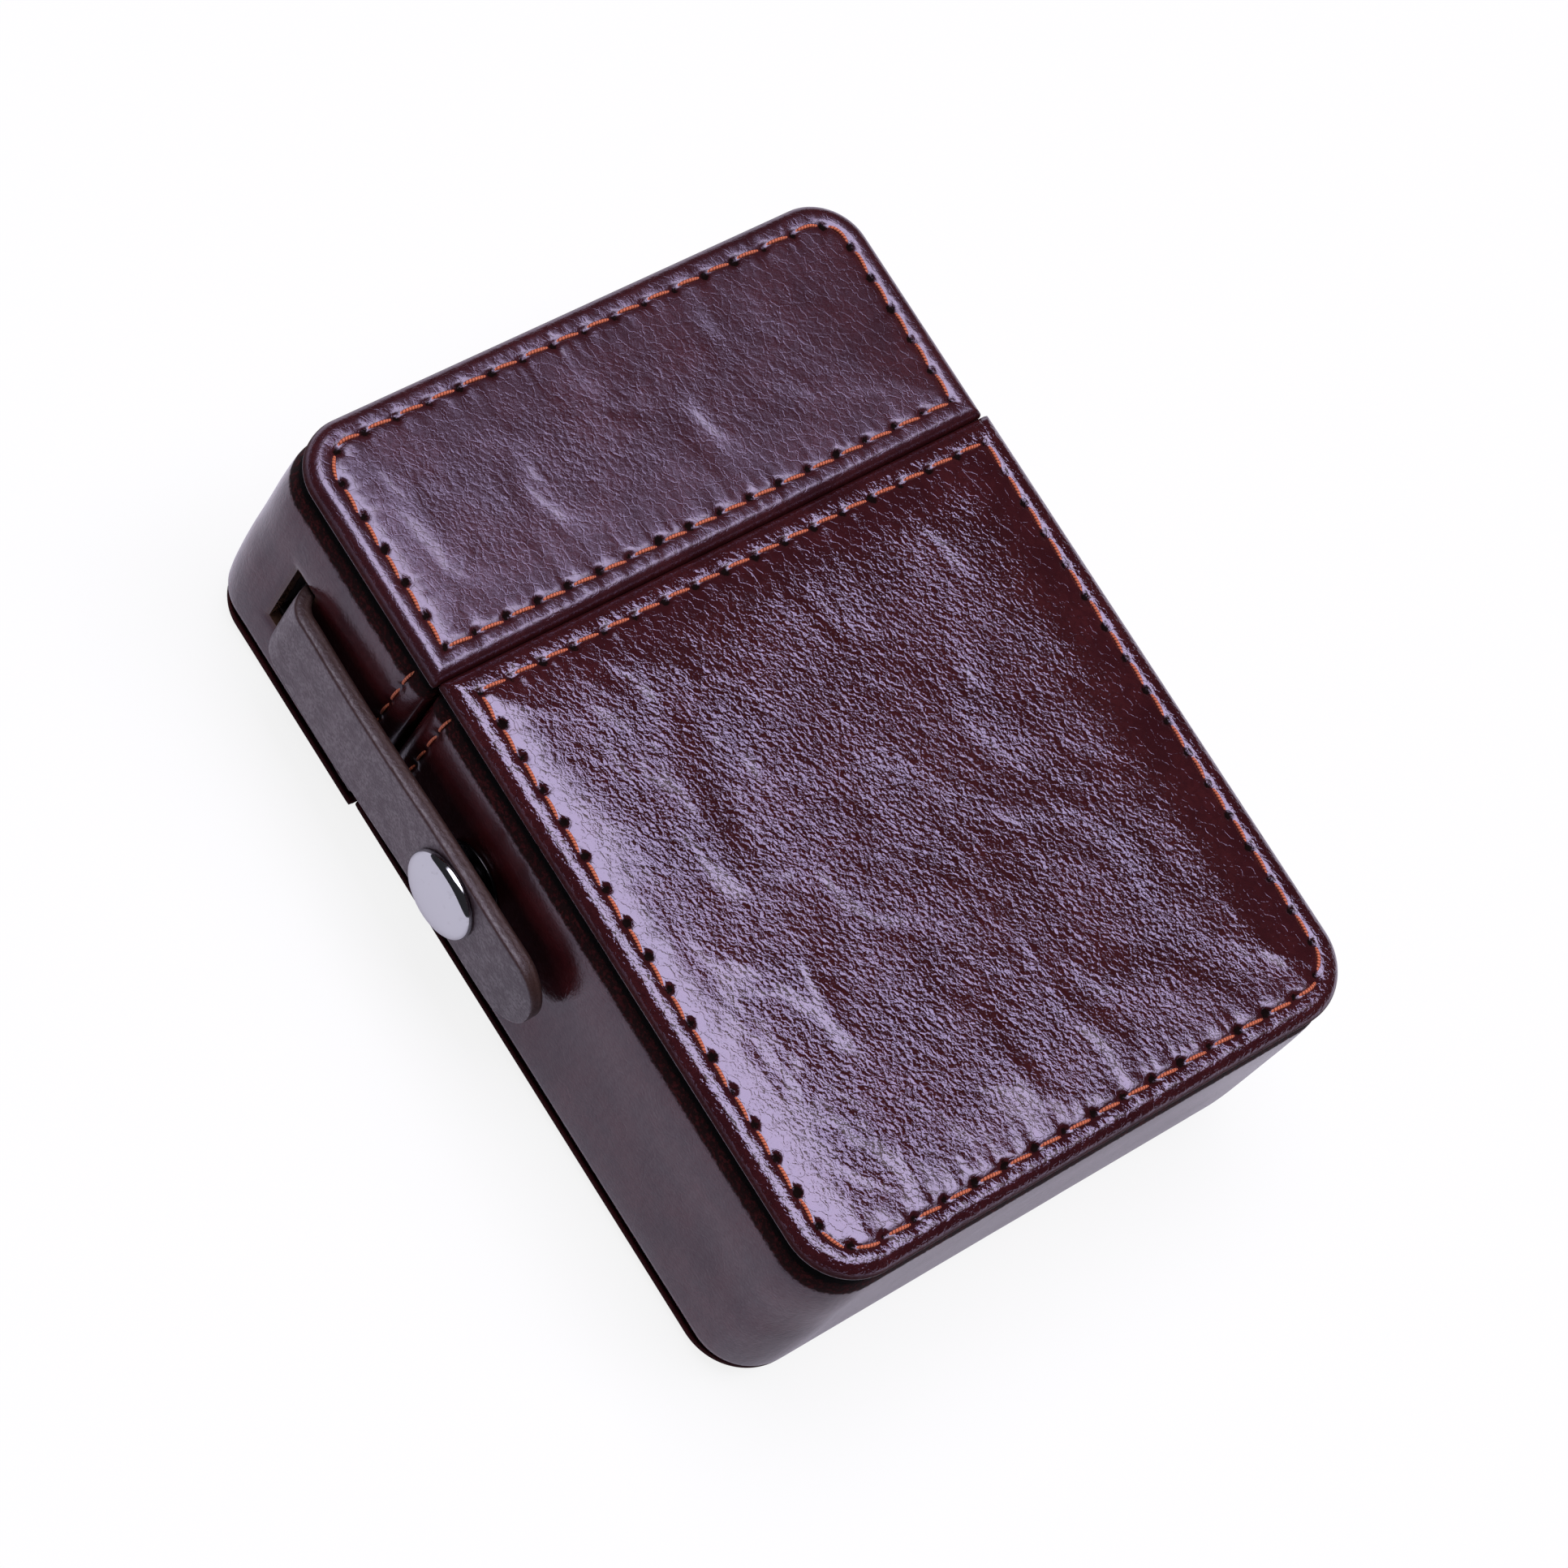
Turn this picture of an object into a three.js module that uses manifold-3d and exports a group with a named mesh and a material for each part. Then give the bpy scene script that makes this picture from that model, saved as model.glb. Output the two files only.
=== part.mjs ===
// Leather cigarette case: a box in two parts, with a lid that swings on a leather hinge down one
// narrow side and a strap with a press stud that holds it shut on the other.
// Millimetres. X runs from the strap side to the hinge side, Y from the foot to the lid's end and Z
// from the back face, on which the case lies, to the front face. The origin is the back face's centre.

import * as THREE from 'three';
import { mergeVertices } from 'three/addons/utils/BufferGeometryUtils.js';
import Module from 'manifold-3d';

const wasm = await Module();
wasm.setup();

// Overall sizes
const caseWidth = 69;
const caseLength = 98;
const caseThickness = 33;
const lidLength = 28;
const partingGap = 0.4;
// The lid sits a little toward the strap side, as the strap pulls it.
const lidOffset = -0.6;
const footCorner = 7;
const lidCorner = 6;
const partingCorner = 0.6;

// Panel layers, from the outside in, with a film of glue between layers
const leatherThickness = 0.7;
const foamThickness = 0.3;
const boardThickness = 0.8;
const glueLine = 0.1;
const edgeRound = 0.5;

// Walls, from the outside in. The panels stand out past the side band.
const panelOverhang = 0.2;
const bandThickness = 1.1;
const wallThickness = 1.9;
const liningThickness = 0.6;
// Leather turned over the walls' edges at the parting
const hemThickness = 1;

// Stitching: a thread that lies in a pressed groove
const seamInset = 2.7;
const grooveWidth = 1;
const grooveDepth = 0.45;
const threadWidth = 0.6;
const threadHeight = 0.32;
const bandSeamMargin = 1.5;

// Leather hinge: how far it reaches along each half from the parting
const hingeReach = 6;

// Strap: it comes out of a slot in the lid's side and lies along the case
const strapWidth = 10.4;
const strapCentre = 15.2;
const strapFaceThickness = 1.1;
const strapBackThickness = 0.8;
const strapLength = 47;
const strapTipRadius = 4.8;
const strapFlat = 12;
const rootLift = 0.8;
const snapLift = 1.9;
const tipLift = 1.9;
const slotFromTop = 10.5;
const slotHeight = 3.8;
const slotFit = 0.3;
const neckThickness = 1.8;
const flapThickness = 0.9;
const flapLength = 9;

// Press stud, on one axis through the strap and the case's wall
const snapFromTip = 14.8;
const capRadius = 4.9;
const capHeight = 1.3;
const capCrown = 0.25;
const capPostRadius = 1;
const socketFlangeRadius = 4.4;
const socketFlangeThickness = 0.25;
const socketSkin = 0.5;
const studRadius = 2;
const studNeckRadius = 1.65;
const studFlangeRadius = 4;
const studFlangeThickness = 0.2;
const studHeight = 2.9;
const rivetRadius = 1;
const rivetFlangeRadius = 3.4;
const rivetFlangeThickness = 0.4;
const snapFit = 0.2;

// How finely a corner and a turned piece are divided
const cornerSteps = 8;
const edgeSteps = 2;
const turnedSteps = 32;

// Places that follow from the sizes
const panelThickness = leatherThickness + foamThickness + boardThickness + 2 * glueLine;
const partingY = caseLength / 2 - lidLength - partingGap / 2;
const bodyMouth = partingY - partingGap / 2;
const lidMouth = partingY + partingGap / 2;
const wallLow = panelThickness + glueLine;
const wallHigh = caseThickness - panelThickness - glueLine;
const bandDepth = panelOverhang;
const wallDepth = bandDepth + bandThickness + glueLine;
const liningDepth = wallDepth + wallThickness + glueLine;
const wallShort = hemThickness + glueLine;
const liningShort = hemThickness - liningThickness;
const bodySide = -caseWidth / 2 + bandDepth;
const lidSide = bodySide + lidOffset;
const hingeSide = caseWidth / 2 - bandDepth;
const slotY = caseLength / 2 - slotFromTop;
const neckY = slotY - slotHeight / 2 + slotFit + neckThickness / 2;
const strapThickness = strapFaceThickness + glueLine + strapBackThickness;
const snapY = neckY - strapLength + snapFromTip;
const tipY = neckY - strapLength;
const past = 2;

// Each outline runs from its closed end, the foot, to its open end, the mouth.
const bodyOutline = {
  left: -caseWidth / 2,
  right: caseWidth / 2,
  foot: -caseLength / 2,
  mouth: bodyMouth,
  corner: footCorner,
  mouthCorner: partingCorner,
};
const lidOutline = {
  left: -caseWidth / 2 + lidOffset,
  right: caseWidth / 2 + lidOffset,
  foot: caseLength / 2,
  mouth: lidMouth,
  corner: lidCorner,
  mouthCorner: partingCorner,
};

function inset(outline, distance) {
  const inward = Math.sign(outline.mouth - outline.foot);
  return {
    left: outline.left + distance,
    right: outline.right - distance,
    foot: outline.foot + inward * distance,
    mouth: outline.mouth - inward * distance,
    corner: Math.max(outline.corner - distance, 0),
    mouthCorner: Math.max(outline.mouthCorner - distance, 0),
  };
}

// The inside of a wall: drawn in on three sides, with its mouth moved to a given place
function insetToMouth(outline, distance, mouth) {
  return { ...inset(outline, distance), mouth, mouthCorner: 0 };
}

function shapeOf(outline) {
  const inward = Math.sign(outline.mouth - outline.foot);
  const points = [];
  const turn = (x, y, radius, quarter) => {
    const steps = radius > 0 ? cornerSteps : 0;
    for (let i = 0; i <= steps; i += 1) {
      const angle = (quarter + (steps ? i / steps : 0)) * Math.PI / 2;
      points.push(new THREE.Vector2(x + radius * Math.cos(angle), y + inward * radius * Math.sin(angle)));
    }
  };
  const { left, right, corner, mouthCorner } = outline;
  const footY = outline.foot + inward * corner;
  const mouthY = outline.mouth - inward * mouthCorner;
  turn(left + corner, footY, corner, 2);
  turn(right - corner, footY, corner, 3);
  turn(right - mouthCorner, mouthY, mouthCorner, 0);
  turn(left + mouthCorner, mouthY, mouthCorner, 1);
  return new THREE.Shape(points);
}

function solidOf(geometry) {
  const bare = geometry.clone();
  bare.deleteAttribute('normal');
  bare.deleteAttribute('uv');
  const merged = mergeVertices(bare, 1e-5);
  return new wasm.Manifold(new wasm.Mesh({
    numProp: 3,
    vertProperties: new Float32Array(merged.attributes.position.array),
    triVerts: new Uint32Array(merged.index.array),
  }));
}

function geometryOf(solid) {
  const { vertProperties, triVerts } = solid.getMesh();
  const geometry = new THREE.BufferGeometry();
  geometry.setAttribute('position', new THREE.BufferAttribute(vertProperties, 3));
  geometry.setIndex(new THREE.BufferAttribute(triVerts, 1));
  geometry.computeVertexNormals();
  return geometry;
}

function prism(shape, low, high) {
  const geometry = new THREE.ExtrudeGeometry(shape, { depth: high - low, bevelEnabled: false });
  return solidOf(geometry.translate(0, 0, low));
}

function slab(outline, low, high) {
  return prism(shapeOf(outline), low, high);
}

// A slab whose faces both meet its sides in a round edge
function roundedSlab(outline, low, high) {
  const geometry = new THREE.ExtrudeGeometry(shapeOf(outline), {
    depth: high - low - 2 * edgeRound,
    bevelThickness: edgeRound,
    bevelSize: edgeRound,
    bevelOffset: -edgeRound,
    bevelSegments: edgeSteps,
  });
  return solidOf(geometry.translate(0, 0, low + edgeRound));
}

function block(x0, x1, y0, y1, z0, z1) {
  const geometry = new THREE.BoxGeometry(x1 - x0, y1 - y0, z1 - z0);
  return solidOf(geometry.translate((x0 + x1) / 2, (y0 + y1) / 2, (z0 + z1) / 2));
}

// A round bar along X through a point of the side, for holes and recesses
function bar(radius, x0, x1, y, z) {
  const geometry = new THREE.CylinderGeometry(radius, radius, x1 - x0, turnedSteps);
  return solidOf(geometry.rotateZ(Math.PI / 2).translate((x0 + x1) / 2, y, z));
}

const lookOf = {
  leather: { color: 0x4a2323, roughness: 0.38, metalness: 0 },
  strapLeather: { color: 0x564240, roughness: 0.45, metalness: 0 },
  foam: { color: 0xb9b2a4, roughness: 0.95, metalness: 0 },
  board: { color: 0x8f867a, roughness: 0.9, metalness: 0 },
  thread: { color: 0xc8643a, roughness: 0.6, metalness: 0 },
  lining: { color: 0x1c1616, roughness: 0.95, metalness: 0 },
  chrome: { color: 0xd6d6d8, roughness: 0.12, metalness: 1 },
  steel: { color: 0x8c8c90, roughness: 0.3, metalness: 1 },
};

function addPart(group, name, geometry, look) {
  const mesh = new THREE.Mesh(geometry, new THREE.MeshStandardMaterial(lookOf[look]));
  mesh.name = name;
  group.add(mesh);
  return mesh;
}

function addSolid(group, name, solid, look) {
  return addPart(group, name, geometryOf(solid), look);
}

// A stiff panel of board, foam and leather, sewn round its edge. Depths run in from its outer face.
function addPanel(group, prefix, outline, isFront) {
  const layer = (distance, from, to, make = slab) => {
    const shape = inset(outline, distance);
    return isFront
      ? make(shape, caseThickness - to, caseThickness - from)
      : make(shape, from, to);
  };
  const ring = (width, from, to) => layer(seamInset - width / 2, from, to)
    .subtract(layer(seamInset + width / 2, from - past, to + past));
  const core = leatherThickness + glueLine;
  const boardTop = core + foamThickness + glueLine;
  const threadTop = grooveDepth - glueLine - threadHeight;
  const cover = layer(0, 0, panelThickness, roundedSlab)
    .add(layer(0, 2 * edgeRound, panelThickness))
    .subtract(layer(leatherThickness, leatherThickness, panelThickness + past))
    .subtract(ring(grooveWidth, -past, grooveDepth));
  addSolid(group, `${prefix}_leather`, cover, 'leather');
  addSolid(group, `${prefix}_foam`, layer(core, core, core + foamThickness), 'foam');
  addSolid(group, `${prefix}_board`, layer(core, boardTop, panelThickness), 'board');
  addSolid(group, `${prefix}_thread`, ring(threadWidth, threadTop, threadTop + threadHeight), 'thread');
}

// A place at a distance back from a half's mouth; a negative distance is beyond it
function backFromMouth(outline, distance) {
  return outline.mouth - distance * Math.sign(outline.mouth - outline.foot);
}

// A block between two distances back from the mouth, as high as the walls
function mouthBlock(outline, x0, x1, near, far) {
  const ends = [backFromMouth(outline, near), backFromMouth(outline, far)].sort((a, b) => a - b);
  return block(x0, x1, ends[0], ends[1], wallLow, wallHigh);
}

// A wall that runs round three sides of a half and stops short of its mouth
function channel(outline, depth, thickness, short) {
  const inside = insetToMouth(outline, depth + thickness, backFromMouth(outline, -past));
  return slab(insetToMouth(outline, depth, backFromMouth(outline, short)), wallLow, wallHigh)
    .subtract(slab(inside, wallLow - past, wallHigh + past));
}

// The side band of a half, turned over the wall's edge on the strap's side
function sideBand(outline) {
  const hem = mouthBlock(
    outline, outline.left + bandDepth, outline.left + wallDepth + wallThickness, 0, hemThickness,
  );
  return channel(outline, bandDepth, bandThickness, 0).add(hem);
}

// A fabric cup inside the walls, turned over the wall's edge on the hinge side
function liningCup(outline) {
  const hollow = insetToMouth(outline, liningDepth + liningThickness, backFromMouth(outline, -past));
  const lip = mouthBlock(
    outline,
    outline.right - liningDepth - liningThickness / 2,
    outline.right - wallDepth,
    liningShort,
    hemThickness,
  );
  return slab(insetToMouth(outline, liningDepth, backFromMouth(outline, liningShort)), wallLow, wallHigh)
    .subtract(slab(hollow, wallLow + liningThickness, wallHigh - liningThickness))
    .add(lip);
}

// A short straight seam across the band beside the parting; side is -1 on the strap's side
function bandSeam(surfaceX, side, mouth, toward, width, from, to, margin) {
  const y = mouth + toward * seamInset;
  const ends = [surfaceX - side * from, surfaceX - side * to].sort((a, b) => a - b);
  return block(ends[0], ends[1], y - width / 2, y + width / 2, wallLow + margin, wallHigh - margin);
}

function bandGroove(surfaceX, side, mouth, toward) {
  const margin = bandSeamMargin - (grooveWidth - threadWidth) / 2;
  return bandSeam(surfaceX, side, mouth, toward, grooveWidth, -past, grooveDepth, margin);
}

function bandThread(surfaceX, side, mouth, toward) {
  const top = grooveDepth - glueLine - threadHeight;
  return bandSeam(surfaceX, side, mouth, toward, threadWidth, top, top + threadHeight, bandSeamMargin);
}

// The stretch of the band's hinge side that the hinge leather takes up
function hingeBay(surfaceX, mouth, toward) {
  const ends = [mouth - toward * past, mouth + toward * hingeReach].sort((a, b) => a - b);
  const inner = surfaceX - bandThickness - glueLine / 2;
  return block(inner, surfaceX + past, ends[0], ends[1], wallLow - past, wallHigh + past);
}

const bodyGroup = new THREE.Group();
const lidGroup = new THREE.Group();
const strapGroup = new THREE.Group();
const studGroup = new THREE.Group();
const capGroup = new THREE.Group();

// Case body
function addBody() {
  addPanel(bodyGroup, 'body_front', bodyOutline, true);
  addPanel(bodyGroup, 'body_back', bodyOutline, false);
  const wallInner = bodySide + liningDepth - bandDepth - glueLine;
  const rivetHole = bar(rivetRadius + snapFit, bodySide - past, wallInner + past, snapY, strapCentre);
  const recessX = wallInner - rivetFlangeThickness - 2 * glueLine;
  const recess = bar(rivetFlangeRadius + snapFit, recessX, wallInner + past, snapY, strapCentre);
  const wall = channel(bodyOutline, wallDepth, wallThickness, wallShort)
    .subtract(rivetHole)
    .subtract(recess);
  addSolid(bodyGroup, 'body_wall', wall, 'board');
  const band = sideBand(bodyOutline)
    .subtract(rivetHole)
    .subtract(bandGroove(bodySide, -1, bodyMouth, -1))
    .subtract(hingeBay(hingeSide, bodyMouth, -1));
  addSolid(bodyGroup, 'body_side_band', band, 'leather');
  addSolid(bodyGroup, 'body_lining', liningCup(bodyOutline), 'lining');
  addSolid(bodyGroup, 'body_band_thread', bandThread(bodySide, -1, bodyMouth, -1), 'thread');
  addSolid(bodyGroup, 'hinge_body_thread', bandThread(hingeSide, 1, bodyMouth, -1), 'thread');
}

// Lid
function addLid() {
  addPanel(lidGroup, 'lid_front', lidOutline, true);
  addPanel(lidGroup, 'lid_back', lidOutline, false);
  const slotLow = strapCentre - strapWidth / 2 - slotFit;
  const slotHigh = strapCentre + strapWidth / 2 + slotFit;
  const wallInner = lidSide + liningDepth - bandDepth - glueLine;
  const slot = block(
    lidSide - past, wallInner + past, slotY - slotHeight / 2, slotY + slotHeight / 2, slotLow, slotHigh,
  );
  const flapTop = neckY + neckThickness / 2;
  const flapBottom = flapTop - flapLength;
  const flapInner = wallInner - glueLine;
  const flapOuter = flapInner - flapThickness;
  const pocket = block(
    flapOuter - glueLine, wallInner + past, flapBottom - slotFit, flapTop + slotFit, slotLow, slotHigh,
  );
  const wall = channel(lidOutline, wallDepth, wallThickness, wallShort)
    .subtract(slot)
    .subtract(pocket);
  addSolid(lidGroup, 'lid_wall', wall, 'board');
  const band = sideBand(lidOutline)
    .subtract(slot)
    .subtract(bandGroove(lidSide, -1, lidMouth, 1))
    .subtract(hingeBay(hingeSide + lidOffset, lidMouth, 1));
  addSolid(lidGroup, 'lid_side_band', band, 'leather');
  addSolid(lidGroup, 'lid_lining', liningCup(lidOutline), 'lining');
  addSolid(lidGroup, 'lid_band_thread', bandThread(lidSide, -1, lidMouth, 1), 'thread');
  addSolid(lidGroup, 'hinge_lid_thread', bandThread(hingeSide + lidOffset, 1, lidMouth, 1), 'thread');

  // The strap's thinned end, glued in a pocket on the wall's inner face
  const strapLow = strapCentre - strapWidth / 2;
  const strapHigh = strapCentre + strapWidth / 2;
  const neckEnd = lidSide - rootLift + glueLine;
  const tail = block(flapOuter, flapInner, flapBottom, flapTop, strapLow, strapHigh)
    .add(block(neckEnd, flapInner, flapTop - neckThickness, flapTop, strapLow, strapHigh));
  addSolid(lidGroup, 'strap_tail', tail, 'strapLeather');
}

// Leather hinge: one strip that joins the two halves down the side away from the strap
function addHinge() {
  const lidX = hingeSide + lidOffset;
  const low = bodyMouth - hingeReach + glueLine;
  const high = lidMouth + hingeReach - glueLine;
  const outer = [[hingeSide, low], [hingeSide, bodyMouth], [lidX, lidMouth], [lidX, high]];
  const inner = outer.map(([x, y]) => [x - bandThickness, y]).reverse();
  const points = [...outer, ...inner].map(([x, y]) => new THREE.Vector2(x, y));
  const strip = prism(new THREE.Shape(points), wallLow, wallHigh)
    .subtract(bandGroove(hingeSide, 1, bodyMouth, -1))
    .subtract(bandGroove(lidX, 1, lidMouth, 1));
  addSolid(bodyGroup, 'hinge_leather', strip, 'leather');
}

// One layer of the strap, between two distances from its inner face, seen along Z.
// Its root is a round knuckle on the hinge line outside the slot.
function strapLayer(from, to) {
  const axisX = lidSide - rootLift - strapThickness / 2;
  const run = [
    [bodySide - snapLift, snapY + strapFlat / 2],
    [bodySide - snapLift, snapY - strapFlat / 2],
    [bodySide - tipLift, tipY],
  ];
  const knuckle = (distance) => {
    const reach = strapThickness / 2 - distance;
    const points = [];
    for (let i = 0; i <= cornerSteps; i += 1) {
      const angle = i / cornerSteps * Math.PI / 2;
      points.push([axisX + reach * Math.cos(angle), neckY + Math.abs(reach) * Math.sin(angle)]);
    }
    return points;
  };
  const near = [...knuckle(from).reverse(), ...run.map(([x, y]) => [x - from, y])];
  const far = [...knuckle(to).reverse(), ...run.map(([x, y]) => [x - to, y])];
  const points = [...near, ...far.reverse()].map(([x, y]) => new THREE.Vector2(x, y));
  const low = strapCentre - strapWidth / 2;
  const high = strapCentre + strapWidth / 2;
  const outermost = bodySide - 4 * strapThickness;
  const hole = bar(socketCupRadius() + snapFit, outermost, bodySide, snapY, strapCentre);
  return prism(new THREE.Shape(points), low, high).intersect(strapPlan()).subtract(hole);
}

// The strap's outline seen from the side of the case, with its round tip
function strapPlan() {
  const outline = {
    left: strapCentre - strapWidth / 2,
    right: strapCentre + strapWidth / 2,
    foot: tipY,
    mouth: neckY + strapThickness,
    corner: strapTipRadius,
    mouthCorner: 0,
  };
  const thickness = 4 * strapThickness;
  const geometry = new THREE.ExtrudeGeometry(shapeOf(outline), { depth: thickness, bevelEnabled: false });
  return solidOf(geometry.rotateY(-Math.PI / 2).translate(bodySide, 0, 0));
}

function socketCupRadius() {
  return studRadius + snapFit + socketSkin;
}

function addStrap() {
  addSolid(strapGroup, 'strap_backing', strapLayer(0, strapBackThickness), 'strapLeather');
  const faceFrom = strapBackThickness + glueLine;
  addSolid(strapGroup, 'strap_face', strapLayer(faceFrom, strapThickness), 'strapLeather');
}

function turned(profile) {
  const points = profile.map(([radius, height]) => new THREE.Vector2(radius, height));
  return geometryOf(solidOf(new THREE.LatheGeometry(points, turnedSteps)));
}

// Press stud: heights run out from the case's side, along each group's turned axis
function addSnap() {
  const studBase = glueLine;
  const flangeTop = studBase + studFlangeThickness;
  const boreTop = studHeight - socketSkin;
  addPart(studGroup, 'snap_stud', turned([
    [0, boreTop],
    [rivetRadius + snapFit, boreTop],
    [rivetRadius + snapFit, studBase],
    [studFlangeRadius, studBase],
    [studFlangeRadius, flangeTop],
    [studNeckRadius, flangeTop],
    [studNeckRadius, flangeTop + snapFit],
    [studRadius, flangeTop + 2 * snapFit],
    [studRadius, studHeight - 2 * snapFit],
    [studNeckRadius, studHeight],
    [0, studHeight],
  ]), 'steel');

  const wallInner = -(bandThickness + glueLine + wallThickness);
  const rivetBase = wallInner + glueLine;
  addPart(studGroup, 'snap_rivet', turned([
    [0, rivetBase],
    [rivetFlangeRadius, rivetBase],
    [rivetFlangeRadius, rivetBase + rivetFlangeThickness],
    [rivetRadius, rivetBase + rivetFlangeThickness],
    [rivetRadius, boreTop - snapFit],
    [0, boreTop - snapFit],
  ]), 'steel');

  const socketTop = snapLift - glueLine;
  const socketBase = socketTop - socketFlangeThickness;
  const cupCeiling = studHeight + snapFit;
  const cupTop = cupCeiling + socketSkin;
  const boreRadius = studRadius + snapFit;
  const eyeRadius = capPostRadius + snapFit;
  addPart(capGroup, 'snap_socket', turned([
    [boreRadius, socketBase],
    [socketFlangeRadius, socketBase],
    [socketFlangeRadius, socketTop],
    [socketCupRadius(), socketTop],
    [socketCupRadius(), cupTop],
    [eyeRadius, cupTop],
    [eyeRadius, cupCeiling],
    [boreRadius, cupCeiling],
    [boreRadius, socketBase],
  ]), 'steel');

  const capBase = snapLift + strapThickness + glueLine;
  const rim = (capHeight - capCrown) / 2;
  const edge = [];
  for (let i = 0; i <= cornerSteps; i += 1) {
    const angle = (i / cornerSteps - 0.5) * Math.PI;
    edge.push([capRadius - rim + rim * Math.cos(angle), capBase + rim + rim * Math.sin(angle)]);
  }
  const crown = [];
  for (let i = cornerSteps - 1; i >= 0; i -= 1) {
    const share = i / cornerSteps;
    crown.push([share * (capRadius - rim), capBase + 2 * rim + capCrown * (1 - share * share)]);
  }
  addPart(capGroup, 'snap_cap', turned([
    [0, cupCeiling + glueLine],
    [capPostRadius, cupCeiling + glueLine],
    [capPostRadius, capBase],
    ...edge,
    ...crown,
  ]), 'chrome');
}

addBody();
addLid();
addHinge();
addStrap();
addSnap();

const snapPlace = new THREE.Vector3(bodySide, snapY, strapCentre);
for (const group of [studGroup, capGroup]) {
  group.position.copy(snapPlace);
  group.rotation.z = Math.PI / 2;
}
bodyGroup.add(studGroup);
strapGroup.add(capGroup);
lidGroup.add(strapGroup);

const cigaretteCase = new THREE.Group();
cigaretteCase.add(bodyGroup, lidGroup);

export default cigaretteCase;
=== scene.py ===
import math
import bpy
import numpy as np
from mathutils import Matrix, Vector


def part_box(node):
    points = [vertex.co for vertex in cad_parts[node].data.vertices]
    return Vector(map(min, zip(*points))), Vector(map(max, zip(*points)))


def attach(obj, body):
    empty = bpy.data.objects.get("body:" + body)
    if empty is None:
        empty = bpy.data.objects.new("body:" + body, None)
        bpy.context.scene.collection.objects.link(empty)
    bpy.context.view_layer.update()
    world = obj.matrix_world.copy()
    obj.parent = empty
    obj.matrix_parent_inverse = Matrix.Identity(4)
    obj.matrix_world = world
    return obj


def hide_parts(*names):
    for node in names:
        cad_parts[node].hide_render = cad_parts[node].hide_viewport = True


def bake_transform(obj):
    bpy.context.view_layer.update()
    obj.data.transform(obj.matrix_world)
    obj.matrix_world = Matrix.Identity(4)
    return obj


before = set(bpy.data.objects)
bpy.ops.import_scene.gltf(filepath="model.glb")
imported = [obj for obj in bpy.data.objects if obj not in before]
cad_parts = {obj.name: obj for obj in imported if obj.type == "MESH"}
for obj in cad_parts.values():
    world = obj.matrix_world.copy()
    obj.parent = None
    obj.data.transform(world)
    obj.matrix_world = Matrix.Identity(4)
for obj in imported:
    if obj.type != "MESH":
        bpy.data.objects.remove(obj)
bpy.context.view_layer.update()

mm = 0.001                                   # shapes are worked out in millimetres
print("frame loaded:", len(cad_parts), "nodes")


def cadEdges(node):
    # a node's box in millimetres: x0, x1, y0, y1, z0, z1
    low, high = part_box(node)
    return [value / mm for pair in zip(low, high) for value in pair]


# Shared surface maths

def latticeValue(ix, iy, seed):
    # a fixed number from -1 to 1 for every whole-number place
    n = (ix * 374761393 + iy * 668265263 + seed * 144269504) & 0xffffffff
    n = ((n ^ (n >> 13)) * 1274126177) & 0xffffffff
    return ((n ^ (n >> 16)) & 0xffff) / 32767.5 - 1


def softNoise(x, y, seed):
    # lattice numbers joined by a fifth-power smooth step in both directions
    fx, fy = np.floor(x), np.floor(y)
    tx, ty = [t * t * t * (t * (t * 6 - 15) + 10) for t in (x - fx, y - fy)]
    ix, iy = fx.astype(np.int64), fy.astype(np.int64)
    low = latticeValue(ix, iy, seed) * (1 - tx) + latticeValue(ix + 1, iy, seed) * tx
    high = latticeValue(ix, iy + 1, seed) * (1 - tx) + latticeValue(ix + 1, iy + 1, seed) * tx
    return low * (1 - ty) + high * ty


def smoothStep(low, high, value):
    t = np.clip((value - low) / (high - low), 0, 1)
    return t * t * (3 - 2 * t)


def gridFaces(index, wrap=False):
    # quads between neighbouring rows and columns of an index table
    if wrap:
        index = np.concatenate([index, index[..., :1]], axis=-1)
    corners = (index[..., :-1, :-1], index[..., 1:, :-1], index[..., 1:, 1:], index[..., :-1, 1:])
    return np.stack(corners, -1).reshape(-1, 4)


def tubeFaces(shape, ring=False):
    # rows of points round a tube: its wall and two end caps, or a wall that closes on itself
    index = np.arange(shape[0] * shape[1]).reshape(shape[:2])
    if ring:
        index[-1] = index[0]
        return [gridFaces(index, wrap=True)]
    return [gridFaces(index, wrap=True), index[:1], index[-1:, ::-1]]


def signedVolume(points, faces):
    # sum over each face's fan of triangles of corner . (corner x corner) / 6
    total = 0.0
    for block in faces:
        corners = points[block]
        for k in range(1, block.shape[1] - 1):
            cross = np.cross(corners[:, k], corners[:, k + 1])
            total += float((corners[:, 0] * cross).sum()) / 6
    return total


def placed(name, data):
    obj = bpy.data.objects.new(name, data)
    bpy.context.scene.collection.objects.link(obj)
    return obj


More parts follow.
